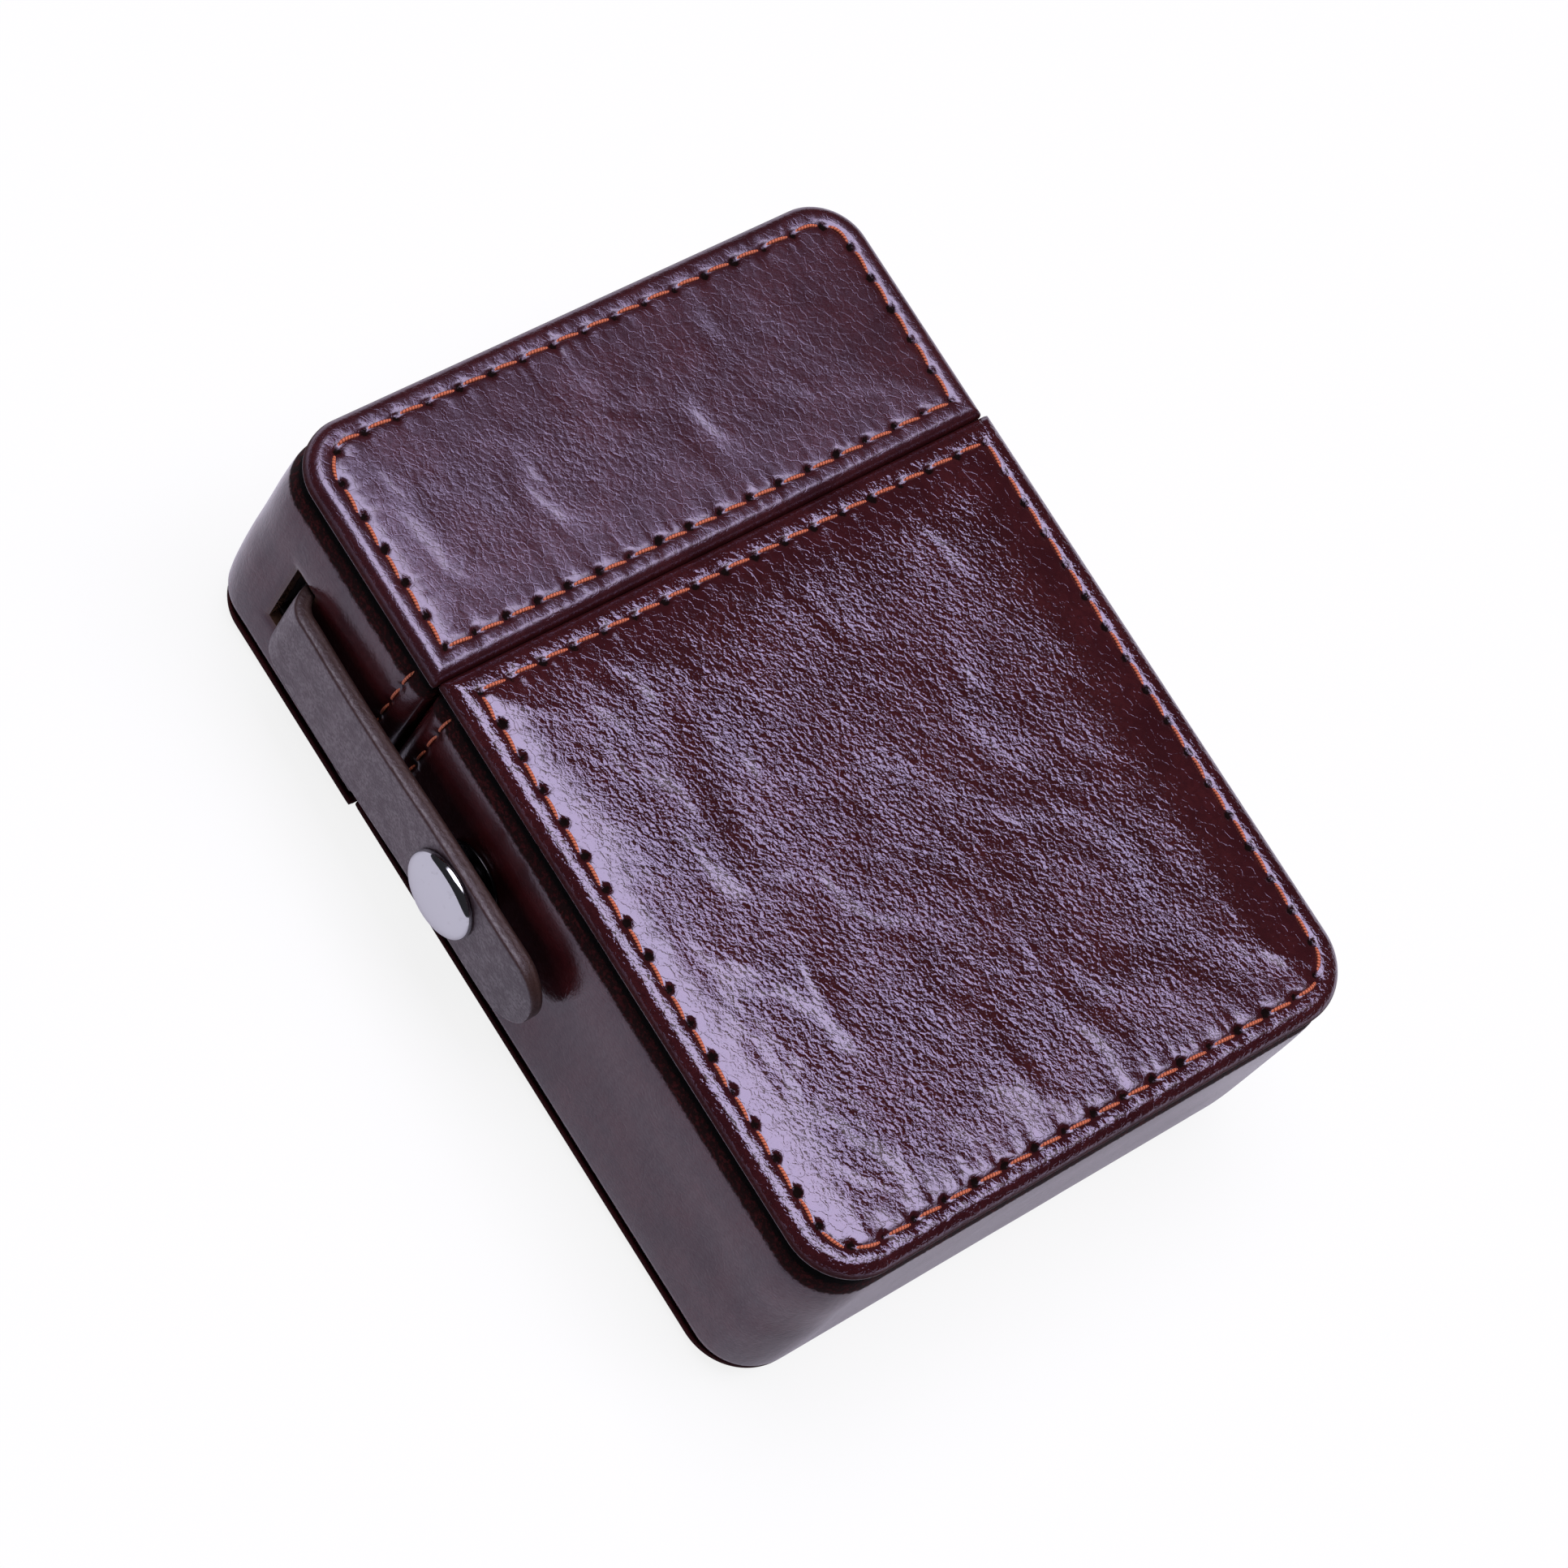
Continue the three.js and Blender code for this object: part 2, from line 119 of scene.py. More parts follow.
def makePiece(name, points, faces, finish, replaces, body=None, values=None, sharp=None):
    # a mesh from whole arrays: points in millimetres, faces as blocks of equal corner counts
    points = np.asarray(points, float).reshape(-1, 3)
    used = np.unique(np.concatenate([block.ravel() for block in faces]))
    newIndex = np.zeros(len(points), np.int64)
    newIndex[used] = np.arange(len(used))
    faces = [newIndex[block] for block in faces]
    points = points[used]
    if signedVolume(points, faces) < 0:
        faces = [block[:, ::-1] for block in faces]
    mesh = bpy.data.meshes.new(name)
    mesh.from_pydata((points * mm).tolist(), [], [face for block in faces for face in block.tolist()])
    for key, value in (values or {}).items():
        layer = mesh.attributes.new(key, "FLOAT", "POINT")
        layer.data.foreach_set("value", np.asarray(value, np.float32).ravel()[used])
    mesh.shade_smooth()
    if sharp:
        mesh.set_sharp_from_angle(angle=math.radians(sharp))
    mesh.materials.append(finishes[finish])
    obj = placed(name, mesh)
    if body:
        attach(obj, body)
    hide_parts(*replaces)
    print("made", name, len(points), "points")
    return obj


# Shader wiring: sums of sockets are written as Python

class Wire:
    def __init__(self, finish, socket):
        self.finish = finish
        self.socket = socket

    def also(self, *outputs):
        # outputs of the node that this wire comes from
        return [Wire(self.finish, self.socket.node.outputs[key]) for key in outputs]

    def __add__(self, other):
        return self.finish.math("ADD", self, other)

    def __sub__(self, other):
        return self.finish.math("SUBTRACT", self, other)

    def __rsub__(self, other):
        return self.finish.math("SUBTRACT", other, self)

    def __mul__(self, other):
        return self.finish.math("MULTIPLY", self, other)

    def __truediv__(self, other):
        return self.finish.math("DIVIDE", self, other)

    __radd__, __rmul__ = __add__, __mul__


class Finish:
    def __init__(self, owner):
        owner.use_nodes = True
        self.owner, self.tree = owner, owner.node_tree
        self.tree.nodes.clear()

    def add(self, kind, sockets=None, out=0, **settings):
        node = self.tree.nodes.new("ShaderNode" + kind)
        for key, value in settings.items():
            setattr(node, key, value)
        for key, value in (sockets or {}).items():
            if isinstance(value, Wire):
                self.tree.links.new(value.socket, node.inputs[key])
            elif value is not None:
                node.inputs[key].default_value = value
        return Wire(self, node.outputs[out]) if len(node.outputs) else None

    def math(self, operation, first, second=None):
        return self.add("Math", {0: first, 1: second}, operation=operation)

    def millimetres(self, stretch=(1, 1, 1), turn=0.0):
        place = self.add("TexCoord", out="Object")
        turned = self.add("Mapping", {"Vector": place, "Rotation": (0, 0, turn)})
        return self.add("Mapping", {"Vector": turned, "Scale": tuple(1000 * s for s in stretch)})

    def noise(self, place, scale, detail=2.0, rough=0.5, distort=0.0):
        return self.add("TexNoise", {"Vector": place, "Scale": scale, "Detail": detail,
                                     "Roughness": rough, "Distortion": distort})

    def span(self, value, low, high, start=0.0, end=1.0):
        return self.add("MapRange", {0: value, 1: low, 2: high, 3: start, 4: end},
                        interpolation_type="SMOOTHSTEP")

    def mix(self, share, first, second):
        first, second = [(*c, 1) if isinstance(c, tuple) else c for c in (first, second)]
        return self.add("Mix", {0: share, 6: first, 7: second}, out=2, data_type="RGBA")

    def attribute(self, name):
        return self.add("Attribute", out="Fac", attribute_name=name)

    def bump(self, height, depth, under=None):
        # depth in millimetres for a height of 1
        return self.add("Bump", {"Strength": 1.0, "Distance": depth * mm, "Height": height, "Normal": under})

    def surface(self, sockets, share=None, over=None):
        # one shader, or a second one laid over it by a share
        shader = self.add("BsdfPrincipled", sockets)
        if over:
            shader = self.add("MixShader", {0: share, 1: shader, 2: self.add("BsdfPrincipled", over)})
        self.add("OutputMaterial", {"Surface": shader})


def newFinish(name):
    return Finish(bpy.data.materials.new(name))


# Finishes

# hole is a near-black painted shade for the needle holes
caseLook = dict(dark=(0.030, 0.0043, 0.0053), warm=(0.050, 0.0082, 0.0090), hole=(0.005, 0.0017, 0.0014),
                cell=2.1, cellDepth=0.072, cellDrawn=0.80, warp=0.9, crumple=1.9, crumpleDepth=0.101,
                crumpleDrawn=0.75, crack=0.80, crackDepth=0.010, crackWidth=0.07, fine=3.4, fineDepth=0.012,
                slant=math.radians(62), roughness=0.08, satin=0.16, coat=0.30, tint=(0.77, 0.69, 1.0, 1),
                holeEdge=(0.28, 0.62), holeRagged=0.7, holeVaries=0.8)


def panelLeather():
    # crinkled glossy leather: domed cells drawn out along the folds, crumples over them and a fine noise
    f = newFinish("panelLeather")
    c = caseLook
    flat = f.millimetres()
    drawn = f.millimetres((c["cellDrawn"], 1, 1), c["slant"])
    warp = f.add("TexNoise", {"Vector": flat, "Scale": 1.3, "Detail": 2.0}, out="Color")
    away = f.add("VectorMath", {0: warp, 1: (0.5,) * 3}, operation="SUBTRACT")
    moved = f.add("VectorMath", {0: away, 1: (c["warp"],) * 3, 2: drawn}, operation="MULTIPLY_ADD")
    cells = f.add("TexVoronoi", {"Vector": moved, "Scale": c["cell"], "Smoothness": 0.15},
                  feature="SMOOTH_F1")
    dome = 1 - cells * cells
    fine = f.noise(flat, c["fine"], 3.0, 0.6)
    crumple = f.noise(f.millimetres((c["crumpleDrawn"], 1, 1), c["slant"]), c["crumple"], 2.0, 0.5, 0.3)
    plates = f.add("TexVoronoi", {"Vector": moved, "Scale": c["crack"]}, feature="DISTANCE_TO_EDGE")
    slack = f.attribute("slack")
    grain = f.bump(fine, c["fineDepth"])
    grain = f.bump(dome * (0.10 + 0.90 * slack), c["cellDepth"], grain)
    grain = f.bump(crumple * slack, c["crumpleDepth"], grain)
    grain = f.bump(f.span(plates, 0.0, c["crackWidth"]), c["crackDepth"], grain)
    cloud = f.span(f.noise(flat, 0.16, 4.0, 0.6), 0.3, 0.7)
    colour = f.mix(cloud, c["dark"], c["warm"])
    # painted shade: the valleys between the grain's domed cells are painted darker
    colour = f.mix(f.span(cells, 0.35, 0.75) * 0.6, colour, c["dark"])
    # painted shade: a ragged patch at each needle hole is painted near black, in a dull shader
    ragged = f.attribute("holeAway") + c["holeRagged"] * (f.noise(flat, 4.2, 2.0, 0.6) - 0.5)
    ragged = ragged + c["holeVaries"] * (f.noise(flat, 0.4) - 0.5)
    hole = f.span(ragged, *c["holeEdge"], 1.0, 0.0)
    dull = f.math("MAXIMUM", hole, f.attribute("turnedEdge") * (0.8 + 0.4 * fine))
    satin = c["roughness"] + c["satin"] * f.attribute("satin")
    f.surface({"Base Color": colour, "Roughness": satin + 0.06 * fine, "Normal": grain, "IOR": 1.75,
               "Specular Tint": c["tint"], "Coat Weight": c["coat"] * (1 - hole),
               "Coat Roughness": 0.05, "Coat IOR": 1.5}, dull,
              {"Base Color": f.mix(hole, colour, c["hole"]), "Roughness": 0.7 + 0.2 * fine,
               "Specular IOR Level": 0.06})
    return f.owner


# worn and the groove colour are painted shade for the roll under the front panel
bandLook = dict(fineDepth=0.026, drawnDepth=0.030, creaseDepth=0.006, wornDepth=0.06, paintedFootShade=0.34,
                cut=(0.085, 0.045, 0.028), worn=(0.010, 0.0022, 0.0022), paintedGrooveShade=(0.0012, 0.0008, 0.0008))


def bandLeather():
    # the same hide stretched smooth: fine streaks across it, a few shallow lines, a raw cut edge at the slot,
    # and a dull roll under the front panel with painted shade that ends black in the groove; the foot side
    # takes part of it
    f = newFinish("bandLeather")
    c, b = caseLook, bandLook
    flat = f.millimetres()
    fine = f.noise(flat, 2.4, 4.0, 0.6)
    drawn = f.noise(f.millimetres((1, 1.2, 0.28)), 1.4, 3.0, 0.6)
    line = f.noise(f.millimetres((1, 1, 0.4)), 0.22, 4.0, 0.5, 0.8)
    crease = f.span(f.math("ABSOLUTE", line - 0.5), 0.0, 0.02)
    grain = f.bump(fine, b["fineDepth"])
    grain = f.bump(drawn, b["drawnDepth"], grain)
    grain = f.bump(crease, b["creaseDepth"], grain)
    cloud = f.span(f.noise(flat, 0.2, 3.0), 0.3, 0.7)
    colour = f.mix(cloud, c["dark"], c["warm"])
    colour = f.mix(f.attribute("cutEdge"), colour, b["cut"])
    # painted shade: the needle holes of the cross seams are painted near black
    colour = f.mix(f.attribute("needleHole"), colour, c["hole"])
    # painted shade: the roll under the front panel is painted dark, turning black where it meets the groove
    rolled = f.attribute("turnedEdge") + 0.34 * (f.noise(flat, 2.2, 4.0, 0.7) - 0.5)
    # painted shade: the side facing the foot takes a share of the dark, dull roll shader, standing in for the
    # shadowed floor it reflects
    dull = f.math("MAXIMUM", f.span(rolled, 0.06, 0.20), b["paintedFootShade"] * f.attribute("paintedFootShade"))
    worn = f.mix(f.span(fine, 0.45, 0.65), b["worn"], colour)
    f.surface({"Base Color": colour, "Roughness": 0.10 + 0.06 * fine, "Normal": grain, "IOR": 1.37,
               "Specular Tint": c["tint"], "Coat Weight": 0.01 + 0.08 * f.span(drawn, 0.35, 0.65),
               "Coat Roughness": 0.10}, dull,
              {"Base Color": f.mix(f.span(rolled, 0.52, 0.62), worn, b["paintedGrooveShade"]),
               "Roughness": 0.5 + 0.3 * fine, "Normal": f.bump(fine, b["wornDepth"]),
               "Specular IOR Level": 0.03})
    return f.owner


strapLook = dict(face=(0.048, 0.026, 0.032), faceLight=(0.078, 0.047, 0.055), edge=(0.048, 0.024, 0.020),
                 line=(0.12, 0.070, 0.058), paintedTipShade=(0.024, 0.013, 0.016), roughness=0.36)


def strapLeather():
    # smooth strap with a dark painted edge and the paler joint of its two layers
    f = newFinish("strapLeather")
    c = strapLook
    flat = f.millimetres()
    fine = f.noise(flat, 3.0, 4.0, 0.6)
    cloud = f.span(f.noise(flat, 0.35, 3.0), 0.3, 0.7)
    colour = f.mix(0.45 * cloud + 0.55 * f.span(fine, 0.35, 0.65), c["face"], c["faceLight"])
    # painted shade: the face is painted darker toward the tip, low on the case
    along = f.add("SeparateXYZ", {0: flat}, out=1)
    colour = f.mix(f.span(along, -8.0, 8.0, 0.55, 0.0), colour, c["paintedTipShade"])
    colour = f.mix(f.attribute("paintedEdge"), colour, c["edge"])
    colour = f.mix(f.attribute("jointLine"), colour, c["line"])
    grain = f.bump(f.noise(flat, 0.28, 3.0), 0.16, f.bump(fine, 0.07))
    worn = 0.5 * f.span(fine, 0.38, 0.62) * f.span(f.noise(flat, 0.7, 2.0), 0.3, 0.6)
    f.surface({"Base Color": colour, "Roughness": c["roughness"] + 0.1 * fine, "Normal": grain, "IOR": 1.45,
               "Specular Tint": (0.9, 0.86, 1.0, 1), "Coat Weight": worn, "Coat Roughness": 0.3})
    return f.owner


threadLook = dict(light=(0.66, 0.175, 0.080), dark=(0.26, 0.050, 0.026), twist=0.42)


def waxedThread():
    # two twisted strands: slanting stripes on the thread's own lengthwise and round coordinates, with painted
    # shade in the grooves between the strands
    f = newFinish("waxedThread")
    c = threadLook
    turn = f.attribute("alongThread") / c["twist"] + f.attribute("roundThread")
    strand = f.math("PINGPONG", turn, 0.5) * 2
    fluff = f.noise(f.millimetres(), 6.0, 3.0, 0.7)
    colour = f.mix(f.span(strand + 0.4 * (fluff - 0.5), 0.0, 0.55), c["dark"], c["light"])
    normal = f.bump(f.span(strand, 0.0, 0.7), 0.07)
    f.surface({"Base Color": colour, "Roughness": 0.5 + 0.2 * fluff, "Normal": normal, "IOR": 1.45})
    return f.owner


def liningCloth():
    # dark brushed cloth: crossed threads under a soft nap
    f = newFinish("liningCloth")
    place = f.millimetres()
    x, y, z = f.add("SeparateXYZ", {0: place}).also(0, 1, 2)
    warp, weft = [f.math("SINE", run * 14.0) for run in (x + z, y - z * 0.2)]
    nap = f.noise(place, 4.0, 4.0, 0.7)
    height = warp * weft * 0.5 + nap
    colour = f.mix(f.span(nap, 0.3, 0.7), (0.010, 0.007, 0.007), (0.026, 0.018, 0.018))
    f.surface({"Base Color": colour, "Roughness": 0.85 + 0.1 * nap, "Normal": f.bump(height, 0.03),
               "Sheen Weight": 0.3, "Sheen Roughness": 0.5})
    return f.owner


def foamSheet():
    # open-celled foam: small pits in a cream sheet, each pit darkened with painted shade
    f = newFinish("foamSheet")
    place = f.millimetres()
    cells = f.add("TexVoronoi", {"Vector": place, "Scale": 2.4})
    speck = f.noise(place, 0.6, 3.0)
    colour = f.mix(f.span(cells, 0.1, 0.6), (0.30, 0.26, 0.20), (0.52, 0.47, 0.38))
    f.surface({"Base Color": colour, "Roughness": 0.9 + 0.08 * speck, "Normal": f.bump(cells, 0.12)})
    return f.owner


def pressedBoard(name, dark, light):
    # pressed board: flecks and short fibres
    f = newFinish(name)
    place = f.millimetres()
    fleck = f.noise(place, 1.6, 5.0, 0.7)
    fibre = f.noise(f.millimetres((0.25, 1.6, 1), 0.5), 1.4, 3.0, 0.6)
    colour = f.mix(f.span(fleck + 0.5 * fibre, 0.5, 1.0), dark, light)
    f.surface({"Base Color": colour, "Roughness": 0.82 + 0.1 * fibre, "Normal": f.bump(fleck, 0.04)})
    return f.owner


def platedMetal(name, colour, stain, roughness):
    # plated metal: faint turned lines, small scuffs and a few dull spots
    f = newFinish(name)
    place = f.millimetres()
    scuff = f.noise(f.millimetres((1, 0.2, 3)), 1.1, 4.0, 0.6)
    spot = f.span(f.noise(place, 0.8, 4.0, 0.7), 0.60, 0.72)
    f.surface({"Base Color": f.mix(spot * 0.5, colour, stain), "Metallic": 1.0,
               "Roughness": roughness + 0.10 * spot + 0.05 * scuff, "Normal": f.bump(scuff, 0.002)})
    return f.owner


finishes = dict(panel=panelLeather(), band=bandLeather(), strap=strapLeather(), thread=waxedThread(),
                lining=liningCloth(), foam=foamSheet(),
                board=pressedBoard("greyBoard", (0.17, 0.145, 0.12), (0.32, 0.28, 0.235)),
                dyedBoard=pressedBoard("dyedBoard", (0.012, 0.008, 0.007), (0.030, 0.021, 0.018)),
                chrome=platedMetal("capChrome", (0.49, 0.50, 0.52), (0.37, 0.37, 0.38), 0.06),
                steel=platedMetal("snapSteel", (0.075, 0.070, 0.074), (0.04, 0.037, 0.04), 0.24))
print("finishes ready:", len(finishes))


# Padded leather panels

panelShape = dict(step=0.30, backStep=0.5, ringDense=1.15, mouthRadius=0.25, backDrawn=0.2, close=0.17,
                  seamInset=2.6, pitch=3.8, innerInset=7.6, rimRadius=1.5, lowerRound=0.2, leather=0.73,
                  crownReach=5.5, valleyWidth=0.6, groove=0.10, grooveWidth=0.28,
                  pucker=0.12, puckerIn=0.9, puckerOut=0.7, hole=0.24, holeRadius=0.42, holeIn=0.24,
                  creases=0.07, creaseWide=0.62, creaseLong=4.5, creaseReach=1.6,
                  foldSlant=math.radians(-62), foldSize=(15.0, 6.5), foldHeight=0.140, foldFade=(0.4, 7.5),
                  bend=0.7, bendSize=(11, 8), crinkle=0.032, crinkleSize=(6, 2.6), wrinkle=0.016,
                  wrinkleSize=(1.9, 1.1), swell=0.35, swellAt=(29, 9), swellSize=(17, 24), swellFade=8,
                  slackFade=(0.5, 9.0), slackPatch=9, slackLeast=0.13,
                  body=dict(crown=0.69, valley=0.04, slope=0.10, folds=1, slack=1),
                  lid=dict(crown=0.30, valley=0.07, slope=0.02, folds=0.6, slack=0.27))


def panelOutline(node, footRadius, mouthRadius, mouthSide, drawn=0.0, close=0.0):
    # radii run anticlockwise from the low left corner; side 0 is the low one and side 2 the high one;
    # the panel is drawn in on its closed sides and comes closer to the other half at its mouth
    x0, x1, y0, y1, z0, z1 = cadEdges(node)
    foot, mouth = (footRadius,) * 2, (mouthRadius,) * 2
    x0, x1 = x0 + drawn, x1 - drawn
    y0, y1 = (y0 + drawn, y1 + close) if mouthSide == 2 else (y0 - close, y1 - drawn)
    return dict(left=x0, right=x1, low=y0, high=y1, z0=z0, z1=z1, mouthSide=mouthSide,
                radii=foot + mouth if mouthSide == 2 else mouth + foot)


def sidesOf(outline, inset):
    # for each side: its corner point, directions along and inward, length and the radii at its two ends
    x0, x1 = outline["left"] + inset, outline["right"] - inset
    y0, y1 = outline["low"] + inset, outline["high"] - inset
    r = np.maximum(np.array(outline["radii"]) - inset, 0.02)
    corners = np.array([[x0, y0], [x1, y0], [x1, y1], [x0, y1]])
    along = np.array([[1, 0], [0, 1], [-1, 0], [0, -1]])
    lengths = (x1 - x0, y1 - y0) * 2
    return [(corners[k], along[k], along[(k + 1) % 4], lengths[k], r[k], r[(k + 1) % 4]) for k in range(4)]


def roundedLoop(outline, inset, countX, countY):
    # each side runs from the middle of one corner's arc to the middle of the next: arc, straight, arc
    eighth = np.pi / 4
    rows = []
    for (corner, along, inward, length, ra, rb), count in zip(sidesOf(outline, inset), (countX, countY) * 2):
        straight = length - ra - rb
        run = np.arange(count) / count * (eighth * (ra + rb) + straight)
        first = np.minimum(run / ra, eighth)
        last = np.clip((run - eighth * ra - straight) / rb, 0, eighth)
        u = ra + ra * np.cos(1.25 * np.pi + first) + np.clip(run - eighth * ra, 0, straight)
        u = u + rb * np.sin(last)
        v = ra + ra * np.sin(1.25 * np.pi + first) + rb * (1 - np.cos(last))
        rows.append(corner + u[:, None] * along + v[:, None] * inward)
    return np.concatenate(rows)


def stitchNumber(outline, x, y):
    # place along the seam of the point nearest to (x, y), counted in stitches, whole at each needle hole;
    # both ends of the mouth's row fall on a hole
    s = panelShape
    sides = sidesOf(outline, s["seamInset"])
    best, place, start, mouthRow = np.full(x.shape, 1e9), np.zeros(x.shape), 0.0, 0.0
    for step in range(4):
        corner, along, inward, length, ra, rb = sides[(outline["mouthSide"] + step) % 4]
        u = (x - corner[0]) * along[0] + (y - corner[1]) * along[1]
        v = (x - corner[0]) * inward[0] + (y - corner[1]) * inward[1]
        onSide = np.clip(u, ra, length - rb)
        away = np.hypot(u - onSide, v)
        place = np.where(away < best, start + onSide - ra, place)
        best = np.minimum(best, away)
        start += length - ra - rb
        mouthRow = mouthRow or start
        turn = np.arctan2(u - (length - rb), rb - v)
        away = np.where((turn > 0) & (turn < np.pi / 2), np.abs(np.hypot(u - length + rb, v - rb) - rb), 1e9)
        place = np.where(away < best, start + turn * rb, place)
        best = np.minimum(best, away)
        start += np.pi / 2 * rb
    mouthCount = round(mouthRow / s["pitch"])
    restCount = round((start - mouthRow) / s["pitch"])
    number = np.where(place < mouthRow, place / mouthRow * mouthCount,
                      mouthCount + (place - mouthRow) / (start - mouthRow) * restCount)
    return number, mouthCount + restCount


def leatherFolds(x, y, seed):
    # long soft folds along a slanted line, broken by creases and small wrinkles; each is a bent noise
    s = panelShape
    c, d = math.cos(s["foldSlant"]), math.sin(s["foldSlant"])
    along, across = c * x + d * y, c * y - d * x
    bendA, bendB = [softNoise(x / size, y / size, seed + 1 + k) for k, size in enumerate(s["bendSize"])]
    long, wide = s["foldSize"]
    a, b = along / long + s["bend"] * bendA, across / wide + s["bend"] * bendB
    folds = softNoise(a, b, seed) + 0.55 * softNoise(2.1 * a + 5, 1.9 * b + 3, seed + 3)
    long, wide = s["crinkleSize"]
    crinkle = 1 - 2 * np.abs(softNoise(along / long + bendB, across / wide + 1.2 * bendA, seed + 4))
    crinkle *= 0.6 + 0.4 * softNoise(x / 14, y / 14, seed + 5)
    long, wide = s["wrinkleSize"]
    wrinkle = softNoise(along / long + bendA, across / wide + bendB, seed + 6)
    return s["foldHeight"] * folds + s["crinkle"] * crinkle + s["wrinkle"] * wrinkle


def coverHeight(outline, x, y, inset, seed):
    # height over the panel's flat face: a cushion crown inside the seam, a valley and groove along it,
    # a pucker and a funnel at each needle hole, and the hide's folds; with it go the distance from the
    # nearest hole and how slack the hide lies
    s = panelShape
    onBody = outline["mouthSide"] == 2
    half = s["body"] if onBody else s["lid"]
    number = stitchNumber(outline, x, y)[0]
    inside = inset - s["seamInset"]
    pull = (0.5 + 0.5 * np.cos(2 * np.pi * number)) ** 1.5
    reach = np.where(inside > 0, s["puckerIn"], s["puckerOut"])
    height = half["crown"] * (1 - np.exp(-np.maximum(inside, 0) / s["crownReach"]))
    height -= half["slope"] * np.maximum(-inside, 0)
    height -= half["valley"] * np.exp(-(inside / s["valleyWidth"]) ** 2)
    height -= s["groove"] * np.exp(-(inside / s["grooveWidth"]) ** 2)
    height -= s["pucker"] * pull * np.exp(-np.abs(inside) / reach)
    away = np.hypot(inside - s["holeIn"], s["pitch"] / np.pi * np.sin(np.pi * number))
    height -= s["hole"] * np.exp(-(away / s["holeRadius"]) ** 3)
    drawn = softNoise(number * s["pitch"] / s["creaseWide"], inside / s["creaseLong"], seed + 8)
    drawn *= s["creases"] * np.exp(-np.abs(inside) / s["creaseReach"])
    height += drawn * smoothStep(0.2, 0.9, np.abs(inside))
    if onBody:
        (atX, atY), (wide, long) = s["swellAt"], s["swellSize"]
        u, v = (x - outline["left"] - atX) / wide, (y - outline["low"] - atY) / long
        height += s["swell"] * np.exp(-u ** 2 - v ** 2) * smoothStep(0, s["swellFade"], inside)
    height += leatherFolds(x, y, seed) * smoothStep(*s["foldFade"], inside) * half["folds"]
    patch = 0.85 + 0.35 * softNoise(x / s["slackPatch"], y / s["slackPatch"], seed + 10)
    slack = smoothStep(*s["slackFade"], inside) * patch + s["slackLeast"]
    slack = np.where(inside < 0, 0.18 + 0.5 * smoothStep(0.1, 0.5, -inside), slack) * half["slack"]
    return height, np.minimum(away, 2.0), slack


def ringAndGrid(outline, rows, innerInset, step):
    # loops at each (inset, depth) row, then a square grid that fills the last loop
    left, right, low, high = [outline[key] for key in ("left", "right", "low", "high")]
    countX, countY = round((right - left) / step), round((high - low) / step)
    loops = np.stack([roundedLoop(outline, inset, countX, countY) for inset, depth in rows])
    ring = np.arange(loops.shape[0] * loops.shape[1]).reshape(loops.shape[:2])
    table = np.zeros((countY + 1, countX + 1), np.int64)
    last = ring[-1]
    table[0, :] = last[:countX + 1]
    table[:, -1] = last[countX:countX + countY + 1]
    table[-1, ::-1] = last[countX + countY:2 * countX + countY + 1]
    table[::-1, 0] = np.append(last[2 * countX + countY:], last[0])
    gx = np.linspace(left + innerInset, right - innerInset, countX + 1)
    gy = np.linspace(low + innerInset, high - innerInset, countY + 1)
    x, y = np.meshgrid(gx[1:-1], gy[1:-1])
    table[1:-1, 1:-1] = ring.size + np.arange(x.size).reshape(x.shape)
    flat = np.concatenate([loops.reshape(-1, 2), np.stack([x.ravel(), y.ravel()], 1)])
    toEdge = np.min([x - left, right - x, y - low, high - y], axis=0).ravel()
    insets, depths = [np.repeat(column, loops.shape[1]) for column in zip(*rows)]
    insets = np.concatenate([insets, toEdge])
    depths = np.concatenate([depths, np.full(x.size, rows[-1][1])])
    return flat, insets, depths, [gridFaces(ring, wrap=True), gridFaces(table), ring[:1]]


def arcRows(inset, depth, radius, start, end, count):
    # points of a quarter round in the plane of inset and depth
    angles = np.linspace(start, end, count)
    return [(inset + radius * math.cos(a), depth + radius * math.sin(a)) for a in angles]


def paddedCover(name, node, outline, body, front, seed, step):
    # rows start under the panel, go round its lower edge, side and rim, and on over the face
    s = panelShape
    deep = outline["z1"] - outline["z0"]
    r, low = s["rimRadius"], s["lowerRound"]
    rows = [(s["leather"], s["leather"] + 0.02), (s["leather"], deep)]
    rows += arcRows(low, deep - low, low, math.pi / 2, math.pi, 4)
    rows += [(0.0, depth) for depth in np.linspace(deep - low, r, 5)[1:-1]]
    rows += arcRows(r, r, r, math.pi, 1.5 * math.pi, 9)
    count = round((s["innerInset"] - r) / step * s["ringDense"])
    rows += [(inset, 0.0) for inset in np.linspace(r, s["innerInset"], count)[1:]]
    flat, insets, depths, faces = ringAndGrid(outline, rows, s["innerInset"], step)
    loopSize = faces[2].shape[1]
    x, y = flat.T
    height, away, slack = coverHeight(outline, x, y, insets, seed)
    onFace = 1 - smoothStep(0.0, r, depths)
    onFace[:loopSize] = 0                    # the covered ceiling row stays level
    z = depths - height * onFace
    z = outline["z1"] - z if front else outline["z0"] + z
    turnedEdge = smoothStep(0.35 * r, 0.75 * r, depths)
    turnedEdge *= 1 - smoothStep(deep - 0.35, deep - 0.12, depths) if front else 1.7
    cover = makePiece(name, np.stack([x, y, z], 1), faces, "panel", [node], body,
                      {"holeAway": away, "slack": slack, "turnedEdge": turnedEdge,
                       "satin": 0 * slack + (outline["mouthSide"] == 0)})


# Stitches: one short thread for each, from needle hole to needle hole

